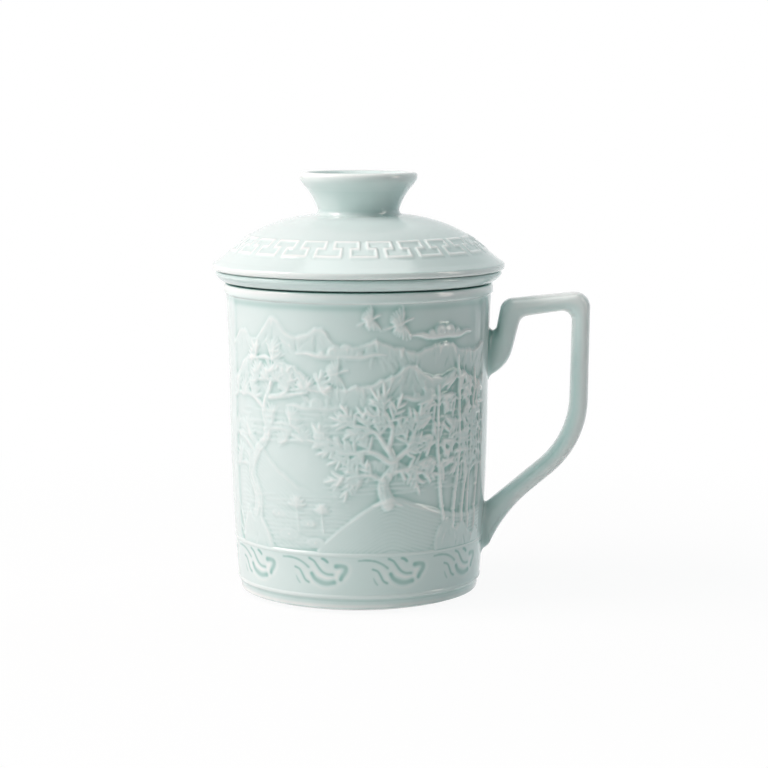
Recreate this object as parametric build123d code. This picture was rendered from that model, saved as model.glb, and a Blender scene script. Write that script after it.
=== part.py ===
"""A lidded porcelain tea mug with a lift-out infuser, in millimetres.

The mug stands on Z with its foot ring on z = 0 and its handle towards +X. The infuser hangs
from the mug's lip by its own flange, and the lid sits on the infuser's flange. Each clay piece
is a solid of its own: the mug's body, its handle, the infuser, the lid and the lid's knob.
"""

from build123d import *
import math
import os

os.makedirs("parts", exist_ok=True)

# ---- Mug body -------------------------------------------------------------------------------
MUG_HEIGHT = 104.8        # table to the top of the lip
WALL_R = 43.55            # outside radius at the belly, the reference for every other radius
WALL_T = 3.5              # thickness of the wall below the lip
BELLY_Z = 68.0            # height where the wall stops swelling and starts to flare
BASE_DRAW = 2.55          # how far the wall draws in from the belly to the base
SWELL = 0.5               # how far the lower wall stands out from a straight line
TOP_FLARE = 0.9           # how far the upper wall leans out, from the belly to the lip band
LIP_BAND = 3.7            # height of the thickened band at the lip
LIP_STEP = 0.65           # how far that band stands out from the wall below it
LIP_T = 3.8               # thickness of the lip
LIP_ROUND = 1.5           # rounding of the lip's two top edges
BASE_Z = 6.1              # height of the bead above the base band
BASE_BAND_SET = 0.35      # how far the base band is set in below that bead
BASE_LEAN = 0.55          # how far the base band draws in towards the foot
BASE_ROUND = 1.7          # rounding from the base band to the foot
FOOT_SET = 1.7            # foot ring's outer edge, in from the bottom of the base band
FOOT_W = 3.4              # width of the foot ring
FOOT_DEPTH = 1.9          # height of the hollow inside the foot ring
FLOOR_T = 3.7             # thickness of the mug's floor
FLOOR_ROUND = 7.0         # rounding where floor and wall meet inside
BEAD_R = 0.6              # section radius of the two beads round the body
BEAD_SET = 0.25           # depth of the beads' centres in the wall
WAIST_BEAD_Z = 19.6       # height of the upper bead

# ---- Recessed panels, front and back --------------------------------------------------------
PANEL_ARC = 139.0         # how far each panel reaches round the mug, in degrees
PANEL_TURN = 0.75         # both panels are turned this far anticlockwise, in degrees
PANEL_MARGIN = 0.9        # plain strip left above the upper bead and below the lip band
PANEL_DEPTH = 0.55
PANEL_CORNER = 3.0        # rounding of the panels' corners

# ---- Handle, an ear in the XZ plane ---------------------------------------------------------
HANDLE_REACH = 34.35      # outer face of the grip, out from the belly
HANDLE_T = 6.4            # thickness, seen from the side
HANDLE_B = 10.0           # breadth, seen from the end
HANDLE_EDGE = 2.9         # rounding of the handle's long edges
HANDLE_TOP = 101.9        # height of the top arm's outer corner
ARM_RISE = 3.0            # how much the top arm rises from the mug to the grip
GRIP_LEAN = 0.7           # how much the grip leans in, from the top arm to the knee
GRIP_CORNER = 5.2         # outer radius where top arm and grip meet
FINGER_CORNER = 3.4       # radius of the finger hole's two upper corners
EAR_OUT = 4.6             # out from the belly to the ear's shoulder
EAR_CORNER = 4.5          # outer radius of that shoulder
NOTCH_OUT = 2.6           # out from the belly to the far side of the notch behind the ear
NOTCH_CURVE = 1.8         # radius at the bottom of that notch
ROOT_TOP = 88.3           # height of the bottom of the notch, the top of the upper root
ROOT_H = 17.0             # height of the upper root
ROOT_SWEEP = 13.0         # radius of the upper root's underside
KNEE_Z = 50.4             # height where the grip's line meets the lower arm's
KNEE_CURVE = 30.0         # outer radius of that bend
KNEE_IN = 4.0             # how much higher the same corner lies on the inside
ELBOW_OUT = 6.0           # out from the belly to where the lower arm turns down to its root
ELBOW_Z = 26.5            # height of that turn
ELBOW_CURVE = 46.0        # radius of that turn
HEEL_Z = 14.5             # height of the lower root's toe
HEEL_OUT = 0.35           # out from the belly to that toe
HEEL_CORNER = 3.1         # rounding of that toe
HEEL_H = 14.9             # height of the lower root

# ---- Infuser --------------------------------------------------------------------------------
SEAT_GAP = 0.2            # clearance between a seat and what rests on it
INFUSER_FIT = 0.6         # clearance all round between the mug's mouth and the infuser
INFUSER_T = 2.5           # thickness of the infuser's wall
INFUSER_DEPTH = 65.0      # how far the infuser hangs below its flange
INFUSER_TAPER = 1.6       # how far the infuser's foot stays inside the mug's narrowest bore
INFUSER_ROUND = 8.0       # outside rounding of the infuser's bottom edge
INFUSER_FLOOR_T = 3.0
FLANGE_H = 3.9            # height of the flange
FLANGE_OVERHANG = 2.8     # how far the flange stands out from the mug's lip
FLANGE_EDGE = 0.6         # rounding of the flange's upper edge
HOLE_D = 3.0              # strainer holes
HOLE_PITCH = 8.6          # distance between the rings of holes
HOLE_RINGS = 2            # rings of 6 and 12 holes round the middle one

# ---- Lid ------------------------------------------------------------------------------------
BRIM_OVERHANG = 1.0       # how far the brim stands out from the infuser's flange
BRIM_T = 3.4              # thickness of the brim's edge, up to where its rounding ends
BRIM_ROUND = 1.4          # rounding of the brim's lower edge
BRIM_RISE = 7.9           # underside of the brim to the foot of the dome
BRIM_W = 7.5              # brim's edge to the foot of the dome
LID_RISE = 18.2           # underside of the brim to the seat of the knob
LID_T = 4.2               # thickness of the dome, measured upright
LAND_R = 14.3             # flat seat on top of the dome for the knob
CROWN_R = 28.3            # radius where the flat crown turns down into the shoulder
CROWN_DROP = 2.75         # drop from the seat to that place
CROWN_CURVE = 85.0        # radius of the crown's arc
RING_FIT = 0.6            # clearance all round between the infuser and the lid's ring
RING_T = 3.2              # thickness of the ring that keeps the lid in place
RING_H = 4.2              # how far that ring reaches down into the infuser
RING_ROUND = 1.2          # rounding of the ring's lower edges

# ---- Key fret, one raised line round the dome -----------------------------------------------
FRET_REPEATS = 23
FRET_LINE = 0.75          # width of the line
FRET_RISE = 0.7           # height of the line above the dome, measured upright
FRET_INSET = 7.05         # middle of the outermost run of line, in from the brim's edge
FRET_BAND = 5.2           # outermost run to innermost run
FRET_START = 202.5        # where the first repeat starts, in degrees from +X
FRET_FOOT = 0.015         # where a repeat's outer run starts, as a share of the repeat
FRET_OPEN = 0.23          # gap between one outer run and the next
FRET_HOOK = 0.27          # length of the hook that the line folds back by

# ---- Knob -----------------------------------------------------------------------------------
KNOB_H = 14.5
KNOB_NECK_R = 13.2
KNOB_RIM_R = 19.7
KNOB_WAIST = 1.7          # how far the neck has spread at the middle of its curve
KNOB_LIP_H = 4.7          # height of the rim, above the neck's curve
KNOB_LIP_T = 2.9          # thickness of the rim
KNOB_SPREAD = 1.5         # how far the rim stands out past the end of the neck's curve
KNOB_FLOOR_T = 3.7
KNOB_BOWL_R = 9.0         # radius of the bowl's floor

# ---- Sizes that follow ----------------------------------------------------------------------
lip_r = WALL_R + TOP_FLARE + LIP_STEP
mouth_r = lip_r - LIP_T
base_r = WALL_R - BASE_DRAW
base_top_r = base_r - BASE_BAND_SET
base_low_r = base_top_r - BASE_LEAN
foot_r = base_low_r - FOOT_SET
band_z = MUG_HEIGHT - LIP_BAND
floor_z = FOOT_DEPTH + FLOOR_T

flange_z = MUG_HEIGHT + SEAT_GAP
flange_r = lip_r + FLANGE_OVERHANG
basket_r = mouth_r - INFUSER_FIT
basket_foot_r = base_r - WALL_T - INFUSER_TAPER
basket_z = flange_z - INFUSER_DEPTH

brim_z = flange_z + FLANGE_H + SEAT_GAP
brim_r = flange_r + BRIM_OVERHANG
land_z = brim_z + LID_RISE
ring_r = basket_r - INFUSER_T - RING_FIT


def lathe(*outline):
    """A solid of revolution round Z, from a closed outline of edges drawn as (radius, height).

    Its seam is turned to the side away from the handle.
    """
    return Rot(0, 0, 180) * revolve(Plane.XZ * make_face(Curve() + list(outline)), Axis.Z)


def upright_cylinder(radius, height):
    """A cylinder that stands on z = 0."""
    return Cylinder(radius, height, align=(Align.CENTER, Align.CENTER, Align.MIN))


def wall_edges(inset=0.0):
    """The wall's outline from the base bead up to the lip band, as two tangent arcs."""
    low = (base_r - inset, BASE_Z)
    belly = (WALL_R - inset, BELLY_Z)
    middle = ((low[0] + belly[0]) / 2 + SWELL, (low[1] + belly[1]) / 2)
    lower = ThreePointArc(low, middle, belly)
    upper = TangentArc(belly, (WALL_R + TOP_FLARE - inset, band_z), tangent=lower % 1)
    return lower, upper


def wall_radius(height):
    """Outside radius of the lower wall at a height between the base bead and the belly."""
    share = (height - BASE_Z) / (BELLY_Z - BASE_Z)
    return base_r + BASE_DRAW * share + 4 * SWELL * share * (1 - share)


def bead(height, radius):
    """A raised bead round the body, its centre a little inside the wall."""
    return revolve(Plane.XZ * Pos(radius - BEAD_SET, height) * Circle(BEAD_R), Axis.Z)


def mug_outside():
    """The mug before it is hollowed: foot, base band, wall, lip band and the two beads."""
    lower, upper = wall_edges()
    foot = FilletPolyline((0, 0), (foot_r, 0), (base_low_r, BASE_ROUND), (base_top_r, BASE_Z),
                          radius=(0, BASE_ROUND))
    step = Line((base_top_r, BASE_Z), (base_r, BASE_Z))
    rim = FilletPolyline((lip_r - LIP_STEP, band_z), (lip_r, band_z + LIP_STEP), (lip_r, MUG_HEIGHT),
                         (0, MUG_HEIGHT), radius=(LIP_STEP, LIP_ROUND))
    axis = Line((0, MUG_HEIGHT), (0, 0))
    body = lathe(foot, step, lower, upper, rim, axis)
    return body + bead(BASE_Z, base_r) + bead(WAIST_BEAD_Z, wall_radius(WAIST_BEAD_Z))


def mug_bore():
    """The tea space, from the rounded floor up past the lip."""
    upper = wall_edges(WALL_T)[1]
    belly, top = upper @ 0, upper @ 1
    over_z = MUG_HEIGHT + LIP_ROUND
    floor = FilletPolyline((0, floor_z), (base_r - WALL_T, floor_z), (belly.X, belly.Y), radius=FLOOR_ROUND)
    mouth = Polyline((top.X, top.Y), (mouth_r, MUG_HEIGHT - LIP_ROUND), (mouth_r, over_z), (0, over_z),
                     (0, floor_z))
    return lathe(floor, upper, mouth)


def panel_cut(start):
    """A shallow window that follows the wall, from a start angle: one relief panel's ground."""
    low_z = WAIST_BEAD_Z + BEAD_R + PANEL_MARGIN
    high_z = band_z - PANEL_MARGIN
    far_r = lip_r + BEAD_R
    lower, upper = wall_edges(PANEL_DEPTH)
    low, top = lower @ 0, upper @ 1
    outside = Polyline((top.X, top.Y), (far_r, top.Y), (far_r, low.Y), (low.X, low.Y))
    ground = revolve(Plane.XZ * make_face(Curve() + [lower, upper, outside]), Axis.Z, PANEL_ARC)
    span = Box(3 * far_r, 3 * far_r, high_z - low_z, align=(Align.CENTER, Align.CENTER, Align.MIN))
    window = ground & Pos(0, 0, low_z) * span
    corners = window.edges().filter_by(GeomType.LINE).filter_by(Plane.XY)
    return Rot(0, 0, start) * fillet(corners, PANEL_CORNER)


def mug_body():
    """The mug's body: bored, hollowed under the foot, with a panel front and back."""
    foot_hollow = upright_cylinder(foot_r - FOOT_W, FOOT_DEPTH)
    start = PANEL_TURN - 90 - PANEL_ARC / 2
    return mug_outside() - mug_bore() - foot_hollow - panel_cut(start) - panel_cut(start + 180)


def handle_outline():
    """The handle seen from the side, its two roots running on into the wall."""
    inside = WALL_R - HANDLE_T
    ear = WALL_R + EAR_OUT
    grip = WALL_R + HANDLE_REACH
    knee = grip - GRIP_LEAN
    arm_z = HANDLE_TOP - ARM_RISE
    outer = FilletPolyline(
        (inside, ROOT_TOP), (WALL_R + NOTCH_OUT, ROOT_TOP), (ear, arm_z), (grip, HANDLE_TOP), (knee, KNEE_Z),
        (WALL_R + ELBOW_OUT, ELBOW_Z), (WALL_R + HEEL_OUT, HEEL_Z), (inside, HEEL_Z - HANDLE_T / 4),
        radius=(NOTCH_CURVE, EAR_CORNER, GRIP_CORNER, KNEE_CURVE, ELBOW_CURVE, HEEL_CORNER))
    root_z = ROOT_TOP - ROOT_H
    inner = FilletPolyline(
        (inside, HEEL_Z + HEEL_H - HANDLE_T * 0.9), (knee - HANDLE_T, KNEE_Z + KNEE_IN),
        (grip - HANDLE_T, HANDLE_TOP - HANDLE_T), (ear + HANDLE_T, arm_z - HANDLE_T + ARM_RISE / 6),
        (ear + HANDLE_T / 3, root_z + HANDLE_T * 0.8), (inside, root_z - HANDLE_T * 0.3),
        radius=(KNEE_CURVE - HANDLE_T, FINGER_CORNER, FINGER_CORNER, ROOT_SWEEP))
    ends = [Line(outer @ 1, inner @ 0), Line(inner @ 1, outer @ 0)]
    return Curve() + [outer, inner] + ends


def mug_handle():
    """The ear handle, rounded along its edges and cut to sit on the wall."""
    side = Plane.XZ * make_face(handle_outline())
    ear = extrude(side, HANDLE_B / 2, both=True)
    faces = ear.faces().sort_by(Axis.Y)
    ear = fillet(faces[0].edges() + faces[-1].edges(), HANDLE_EDGE)
    return ear - mug_outside()


def infuser_basket():
    """The infuser: a tapered cup with a wide flange at the top and a strainer for a floor."""
    top_z = flange_z + FLANGE_H
    floor = basket_z + INFUSER_FLOOR_T
    outside = FilletPolyline((0, basket_z), (basket_foot_r, basket_z), (basket_r, flange_z),
                             radius=INFUSER_ROUND)
    under = Line((basket_r, flange_z), (lip_r, flange_z))
    swell = ThreePointArc((lip_r, flange_z), (lip_r + FLANGE_OVERHANG * 0.7, flange_z + FLANGE_H * 0.4),
                          (flange_r, top_z - 2 * FLANGE_EDGE))
    inside = FilletPolyline((flange_r, top_z - 2 * FLANGE_EDGE), (flange_r, top_z),
                            (basket_r - INFUSER_T, top_z), (basket_foot_r - INFUSER_T, floor), (0, floor),
                            radius=(FLANGE_EDGE, FLANGE_EDGE, INFUSER_ROUND - INFUSER_T))
    basket = lathe(outside, under, swell, inside, Line((0, floor), (0, basket_z)))
    return basket - strainer_holes()


def strainer_holes():
    """Drills for the infuser's floor: one in the middle, in rings of 6, 12, 18 and so on."""
    drill = Pos(0, 0, basket_z) * Cylinder(HOLE_D / 2, 3 * INFUSER_FLOOR_T)
    drills = [drill]
    for ring in range(1, HOLE_RINGS + 1):
        drills += [place * drill for place in PolarLocations(ring * HOLE_PITCH, 6 * ring)]
    return Part() + drills


def lid_outside():
    """The lid's outer form, solid: brim, hollow-curved neck, shoulder, crown and knob's seat."""
    neck = (brim_r - BRIM_W, brim_z + BRIM_RISE)
    edge = (brim_r - BRIM_T * 0.6, brim_z + BRIM_T)
    brim = FilletPolyline((0, brim_z), (brim_r, brim_z), (brim_r, brim_z + BRIM_T * 0.6), edge,
                          radius=(BRIM_ROUND, BRIM_T * 0.3))
    crown_z = land_z - CROWN_DROP
    steep = math.asin(CROWN_R / CROWN_CURVE)
    crown = TangentArc((CROWN_R, crown_z), (LAND_R, land_z), tangent=(-math.cos(steep), math.sin(steep)))
    shoulder = TangentArc((CROWN_R, crown_z), neck, tangent=(math.cos(steep), -math.sin(steep)))
    flare = TangentArc(neck, edge, tangent=shoulder % 1)
    land = Polyline((LAND_R, land_z), (0, land_z), (0, brim_z))
    return lathe(brim, flare, shoulder, crown, land)


def fret_path():
    """Corners of one repeat of the fret's line: along as a share of the repeat, and up."""
    run_end = FRET_FOOT + 1 - FRET_OPEN
    fold = run_end - FRET_HOOK
    return [(FRET_FOOT, 0), (run_end, 0), (run_end, 0.5), (fold, 0.5),
            (fold, 1), (run_end + 0.5, 1), (run_end + 0.5, 0.5), (FRET_FOOT + 1, 0.5)]


def fret_side(side):
    """One side of the fret's line, all the way round, as a closed wire of arcs and risers."""
    repeat = math.radians(360 / FRET_REPEATS)
    outer_r = brim_r - FRET_INSET
    fall = math.atan2(LID_RISE - CROWN_DROP - BRIM_RISE, brim_r - BRIM_W - CROWN_R)
    half_turn = FRET_LINE / 2 / (outer_r - FRET_BAND / 2)
    half_run = FRET_LINE / 2 * math.cos(fall)
    path = fret_path()
    chain = [(path[-1][0] - 1, path[-1][1])] + path + [(path[0][0] + 1, path[0][1])]
    corners = []
    for before, here, after in zip(chain, chain[1:], chain[2:]):
        turn = here[0] * repeat - side * math.copysign(half_turn, after[1] - before[1])
        up = here[1] * FRET_BAND + side * math.copysign(half_run, after[0] - before[0])
        corners.append((turn, outer_r - up))
    start = math.radians(FRET_START)
    ring = [(start + n * repeat + turn, radius) for n in range(FRET_REPEATS) for turn, radius in corners]
    ring.append((ring[0][0] + math.tau, ring[0][1]))
    edges = []
    for (turn, radius), (next_turn, next_radius) in zip(ring, ring[1:]):
        ends = polar(radius, turn), polar(next_radius, next_turn)
        if math.isclose(radius, next_radius):
            edges.append(ThreePointArc(ends[0], polar(radius, (turn + next_turn) / 2), ends[1]))
        else:
            edges.append(Line(*ends))
    return Wire(edges)


def polar(radius, turn):
    return radius * math.cos(turn), radius * math.sin(turn)


def lid_cover():
    """The lid: hollow dome, raised key fret, and a ring below that fits inside the infuser."""
    dome = lid_outside()
    line = extrude(Face(fret_side(-1), [fret_side(1)]), land_z - brim_z)
    fret = Pos(0, 0, brim_z) * line & Pos(0, 0, FRET_RISE) * dome
    ring_z = brim_z - RING_H
    section = Rectangle(RING_T, RING_H + BRIM_T, align=(Align.MAX, Align.MIN))
    section = fillet(section.vertices().sort_by(Axis.Y)[:2], RING_ROUND)
    ring = revolve(Plane.XZ * Pos(ring_r, ring_z) * section, Axis.Z)
    bore_r = ring_r - RING_T
    under_dome = Pos(0, 0, ring_z) * upright_cylinder(bore_r, RING_H + LID_RISE) & Pos(0, 0, -LID_T) * dome
    in_ring = Pos(0, 0, ring_z) * upright_cylinder(bore_r, RING_H)
    return dome + fret + ring - under_dome - in_ring


def lid_knob():
    """The knob: a flared, hollow ring like a small cup, seated on the dome."""
    top_z = land_z + KNOB_H
    floor = land_z + KNOB_FLOOR_T
    base = (KNOB_NECK_R, land_z)
    neck_end = (KNOB_RIM_R - KNOB_SPREAD, top_z - KNOB_LIP_H)
    waist = ((base[0] + neck_end[0]) / 2 - KNOB_WAIST / 2, (base[1] + neck_end[1]) / 2)
    neck = ThreePointArc(base, waist, neck_end)
    rim = FilletPolyline(neck_end, (KNOB_RIM_R, top_z - KNOB_LIP_H / 2), (KNOB_RIM_R, top_z),
                         (KNOB_RIM_R - KNOB_LIP_T, top_z), (KNOB_BOWL_R, floor), (0, floor),
                         radius=(KNOB_LIP_T, KNOB_LIP_T * 0.46, KNOB_LIP_T * 0.46, KNOB_BOWL_R / 2))
    return lathe(Line((0, land_z), base), neck, rim, Line((0, floor), (0, land_z)))


PIECES = {
    "mug_body": mug_body,
    "mug_handle": mug_handle,
    "infuser_basket": infuser_basket,
    "lid_cover": lid_cover,
    "lid_knob": lid_knob,
}

for name, make in PIECES.items():
    export_step(make(), f"parts/{name}.step")
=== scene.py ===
# %% [markdown]
# # Lidded tea mug with infuser, in pale green porcelain
#
# The object is three fired pieces that come apart: a mug with an ear handle, an infuser that hangs in
# the mug by a wide flange, and a domed lid with a hollow knob. All of it has one glaze, the pale
# blue-green that potters call celadon. A celadon glaze is a tinted glass. Where it runs thin, over a
# ridge or a rim, the white clay shows through. Where it pools, in a hollow, it turns deep green. So
# most of this lesson is about two things: clay that is carved finely, and a glaze that knows how deep
# it lies.
#
# All lengths are written in millimetres, and MM turns them into Blender's metres.

# %% The frame, the camera and the units
import math

import bmesh
import bpy
import numpy as np
from mathutils import Matrix, Vector


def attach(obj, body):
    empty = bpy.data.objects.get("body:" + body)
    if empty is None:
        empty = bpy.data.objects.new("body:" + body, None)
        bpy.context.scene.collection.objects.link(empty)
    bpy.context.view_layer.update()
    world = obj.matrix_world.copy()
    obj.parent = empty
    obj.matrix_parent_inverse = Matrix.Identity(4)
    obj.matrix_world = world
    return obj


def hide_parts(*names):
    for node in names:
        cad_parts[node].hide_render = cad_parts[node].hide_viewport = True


MM = 0.001
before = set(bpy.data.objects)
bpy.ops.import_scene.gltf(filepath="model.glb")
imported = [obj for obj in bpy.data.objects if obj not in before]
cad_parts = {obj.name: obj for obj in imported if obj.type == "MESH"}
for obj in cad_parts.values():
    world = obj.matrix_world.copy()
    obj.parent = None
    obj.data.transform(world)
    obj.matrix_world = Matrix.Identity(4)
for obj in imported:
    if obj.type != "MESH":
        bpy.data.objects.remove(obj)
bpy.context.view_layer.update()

CAMERA_DISTANCE = 754.0   # from the mug's axis, measured level
CAMERA_HEIGHT = 167.3     # above the table
CAMERA_SHIFT = 8.5        # to the right of the mug's axis
CAMERA_DIP = 7.35         # degrees below level
LENS = 105.5

camera_data = bpy.data.cameras.new("camera")
camera_data.lens = LENS
camera_data.sensor_width = 36.0
camera = bpy.data.objects.new("camera", camera_data)
camera.location = Vector((CAMERA_SHIFT, -CAMERA_DISTANCE, CAMERA_HEIGHT)) * MM
camera.rotation_euler = (math.radians(90 - CAMERA_DIP), 0, 0)
bpy.context.scene.collection.objects.link(camera)
bpy.context.scene.camera = camera

# %% [markdown]
# ## Outlines and the potter's wheel
#
# Nearly every part of this mug was turned, so nearly every piece here is an outline spun round Z. An
# outline is a few points of (radius, height) joined by edges. Its sharp corners are rounded with a
# bevel on the vertices, which is the same as rounding a corner of a template. Long edges are cut into
# short even steps, because the glaze is worked out point by point later and needs points to sit on.

# %% Arcs, corners and even steps
def arc_through(start, middle, end, steps=24):
    """Points on the circle through three places, both ends included."""
    (ax, ay), (bx, by), (cx, cy) = start, middle, end
    d = 2 * (ax * (by - cy) + bx * (cy - ay) + cx * (ay - by))
    a2, b2, c2 = ax * ax + ay * ay, bx * bx + by * by, cx * cx + cy * cy
    ox = (a2 * (by - cy) + b2 * (cy - ay) + c2 * (ay - by)) / d
    oy = (a2 * (cx - bx) + b2 * (ax - cx) + c2 * (bx - ax)) / d
    radius = math.hypot(ax - ox, ay - oy)
    first, last = math.atan2(ay - oy, ax - ox), math.atan2(cy - oy, cx - ox)
    turn = (last - first + math.pi) % (2 * math.pi) - math.pi
    angles = [first + turn * k / steps for k in range(steps + 1)]
    return [(ox + radius * math.cos(a), oy + radius * math.sin(a)) for a in angles]


def arc_from(start, heading, end, steps=24):
    """Points on the arc that leaves start with a heading and reaches end."""
    hx, hy = heading
    chord_x, chord_y = end[0] - start[0], end[1] - start[1]
    length = math.hypot(chord_x, chord_y)
    heading_length = math.hypot(hx, hy)
    sine = (hx * chord_y - hy * chord_x) / (length * heading_length)
    half = math.asin(max(-1.0, min(1.0, sine)))
    if abs(half) < 1e-6:
        return [start, end]
    bulge = length / 2 * math.tan(half / 2)
    middle = ((start[0] + end[0]) / 2 + bulge * chord_y / length,
              (start[1] + end[1]) / 2 - bulge * chord_x / length)
    return arc_through(start, middle, end, steps)


def heading_at_end(points):
    """The direction in which a run of points arrives at its end."""
    (ax, ay), (bx, by), (cx, cy) = points[-3:]
    return 1.5 * (cx - bx) - 0.5 * (bx - ax), 1.5 * (cy - by) - 0.5 * (by - ay)


def outline(points, rounds=None, step=2.5, fine=0.35):
    """A bmesh with one outline in the XZ plane; rounds gives {corner point: radius}."""
    bm = bmesh.new()
    verts = [bm.verts.new((r, 0, z)) for r, z in points]
    for a, b in zip(verts, verts[1:]):
        bm.edges.new((a, b))
    corners = {p: v for p, v in zip(points, verts)}
    for corner, radius in (rounds or {}).items():
        vert = corners[corner]
        one, two = [e.other_vert(vert).co - vert.co for e in vert.link_edges]
        turn = math.pi - one.angle(two)
        bmesh.ops.bevel(bm, geom=[vert], offset=radius * math.tan(turn / 2), offset_type="OFFSET",
                        segments=max(3, round(radius * turn / fine)), profile=0.5, affect="VERTICES",
                        material=-1)
    for edge in list(bm.edges):
        cuts = round(edge.calc_length() / step) - 1
        if cuts > 0:
            bmesh.ops.subdivide_edges(bm, edges=[edge], cuts=cuts)
    return bm


def close_and_face_outwards(bm):
    """Joins the points that meet, as at a seam or a pole, and points every face outwards."""
    bmesh.ops.remove_doubles(bm, verts=bm.verts[:], dist=1e-4)
    bmesh.ops.recalc_face_normals(bm, faces=bm.faces[:])
    return bm


def turn_on_wheel(bm, steps=300):
    """Spins an outline right round Z."""
    bmesh.ops.spin(bm, geom=bm.verts[:] + bm.edges[:], axis=(0, 0, 1), cent=(0, 0, 0),
                   dvec=(0, 0, 0), angle=2 * math.pi, steps=steps, use_merge=True)
    return close_and_face_outwards(bm)


def roll_round(radii, heights, pool=None):
    """Rows of points rolled right round Z from a flat grid, with one radius and height for each cell.

    It gives what a spin gives, and it is much faster at a thousand columns. The last row may repeat
    the first, to close the section, and pool is kept on the points if it is given.
    """
    radii, heights = np.broadcast_arrays(radii, heights)
    rows, columns = radii.shape
    bm = bmesh.new()
    layer = bm.verts.layers.float.new("pool") if pool is not None else None
    bmesh.ops.create_grid(bm, x_segments=columns - 1, y_segments=rows - 1, size=0.5)
    for v in bm.verts:
        column, row = round((v.co.x + 0.5) * (columns - 1)), round((v.co.y + 0.5) * (rows - 1))
        angle = 2 * math.pi * column / (columns - 1)
        radius = float(radii[row, column])
        v.co = (radius * math.cos(angle), radius * math.sin(angle), float(heights[row, column]))
        if layer:
            v[layer] = float(pool[row, column])
    return close_and_face_outwards(bm)


# %% [markdown]
# ## How deep the glaze lies
#
# Molten glaze flows off ridges and gathers in hollows. A quick way to find both is to let the surface
# relax: average every point with its neighbours a few times, and see which way it moved. A point in a
# hollow moves outwards and a point on a ridge moves inwards. That distance, in millimetres, is kept on
# each point as an attribute called pool, and the glaze reads it. Some pieces add painted light and painted
# shade to it as well, where the glaze is made lighter or darker than its depth gives. The attribute
# follows the piece in every pose.

# %% The pool attribute
POOL_REACH = 1.1          # how far round itself a point looks


def relax(points, edges, passes):
    """Points after some passes of averaging with their neighbours, the near ones counting more."""
    here, there = np.concatenate([edges, edges[:, ::-1]]).T
    weight = 1 / np.maximum(0.05, np.linalg.norm(points[here] - points[there], axis=1))
    total = np.bincount(here, weights=weight, minlength=len(points))[:, None]
    for _ in range(passes):
        pull = [np.bincount(here, weights=weight * points[there, k], minlength=len(points))
                for k in range(3)]
        points = (points + np.stack(pull, 1) / total) / 2
    return points


def pool_of(mesh):
    """How far each point of a mesh lies below its own neighbourhood, in millimetres."""
    points = np.empty(len(mesh.vertices) * 3)
    mesh.vertices.foreach_get("co", points)
    points = points.reshape(-1, 3) / MM
    edges = np.empty(len(mesh.edges) * 2, int)
    mesh.edges.foreach_get("vertices", edges)
    edges = edges.reshape(-1, 2)
    length = np.median(np.linalg.norm(points[edges[:, 0]] - points[edges[:, 1]], axis=1))
    passes = int(min(80, max(4, 2 * (POOL_REACH / length) ** 2)))
    normals = np.empty(len(mesh.vertices) * 3)
    mesh.vertex_normals.foreach_get("vector", normals)
    return ((relax(points, edges, passes) - points) * normals.reshape(-1, 3)).sum(1)


def keep_pool(mesh, extra=None):
    """Writes pool onto the mesh's points, unless they have it, and adds extra(radius, height) to it."""
    attribute = mesh.attributes.get("pool")
    if attribute is None:
        pool = pool_of(mesh)
        attribute = mesh.attributes.new("pool", "FLOAT", "POINT")
    else:
        pool = np.empty(len(mesh.vertices), np.float32)
        attribute.data.foreach_get("value", pool)
    points = np.empty(len(mesh.vertices) * 3)
    mesh.vertices.foreach_get("co", points)
    x, y, z = points.reshape(-1, 3).T / MM
    more = extra(np.hypot(x, y), z) if extra else 0.0
    attribute.data.foreach_set("value", (pool + more).astype(np.float32))


# %% [markdown]
# ## The celadon glaze
#
# The glaze is a clear, faintly green glass over white porcelain. The colour comes from four tones: the
# white clay under thin glaze, the everyday tone on a plain wall, the deep green where it pools, and a
# near black that is painted shade, for the dark gap where one piece sits on another. The pool attribute
# chooses between them, and any pool deeper than the deep green leans towards that painted shade. A very
# wide, weak noise shifts the tone, as an uneven dip does, and a shallow bump gives the surface the slow
# ripple of fired glass. The gloss is the shader's own, with a low roughness, because a glaze is smooth
# glass and not a varnish.

# %% Glaze and clay materials
THIN = (0.81, 0.845, 0.83)
PLAIN = (0.65, 0.757, 0.742)
DEEP = (0.3, 0.51, 0.472)
# painted shade: the near black of the gap where one piece sits on another
SEAM_SHADE = (0.045, 0.065, 0.055)
CLAY = (0.68, 0.62, 0.56)
POOL_TONES = (-0.22, 0.02, 0.32, 1.0)   # mm of pool at which the glaze has each of the four tones
GLOSS, BARE_GLOSS = 0.13, 0.75          # roughness of the glaze and of the bare clay
BARE_BELOW, BARE_FADE = 0.4, 0.12       # mm: where the glaze is wiped off the foot, and how softly
DIP_SCALE, DIP_SHIFT = 38.0, 0.05       # the uneven dip: the noise's scale, and its pull on the tone
RIPPLE_SCALE, RIPPLE_RISE = 160.0, 0.6  # the fired ripple: the noise's scale, and its height in mm
SHADER_VALUES = {"Roughness": GLOSS, "IOR": 1.5, "Subsurface Weight": 0.12,
                 "Subsurface Radius": (0.8, 1.0, 0.95), "Subsurface Scale": 0.6 * MM}


def new_material(name):
    material = bpy.data.materials.new(name)
    material.use_nodes = True
    tree = material.node_tree
    return material, tree, tree.nodes["Principled BSDF"]


def add_node(tree, kind, values=None, links=None, **settings):
    """A new shader node, with its own settings, plain values for inputs, and outputs linked to inputs."""
    made = tree.nodes.new("ShaderNode" + kind)
    for name, setting in settings.items():
        setattr(made, name, setting)
    for socket, value in (values or {}).items():
        made.inputs[socket].default_value = value
    for socket, output in (links or {}).items():
        tree.links.new(output, made.inputs[socket])
    return made


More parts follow.
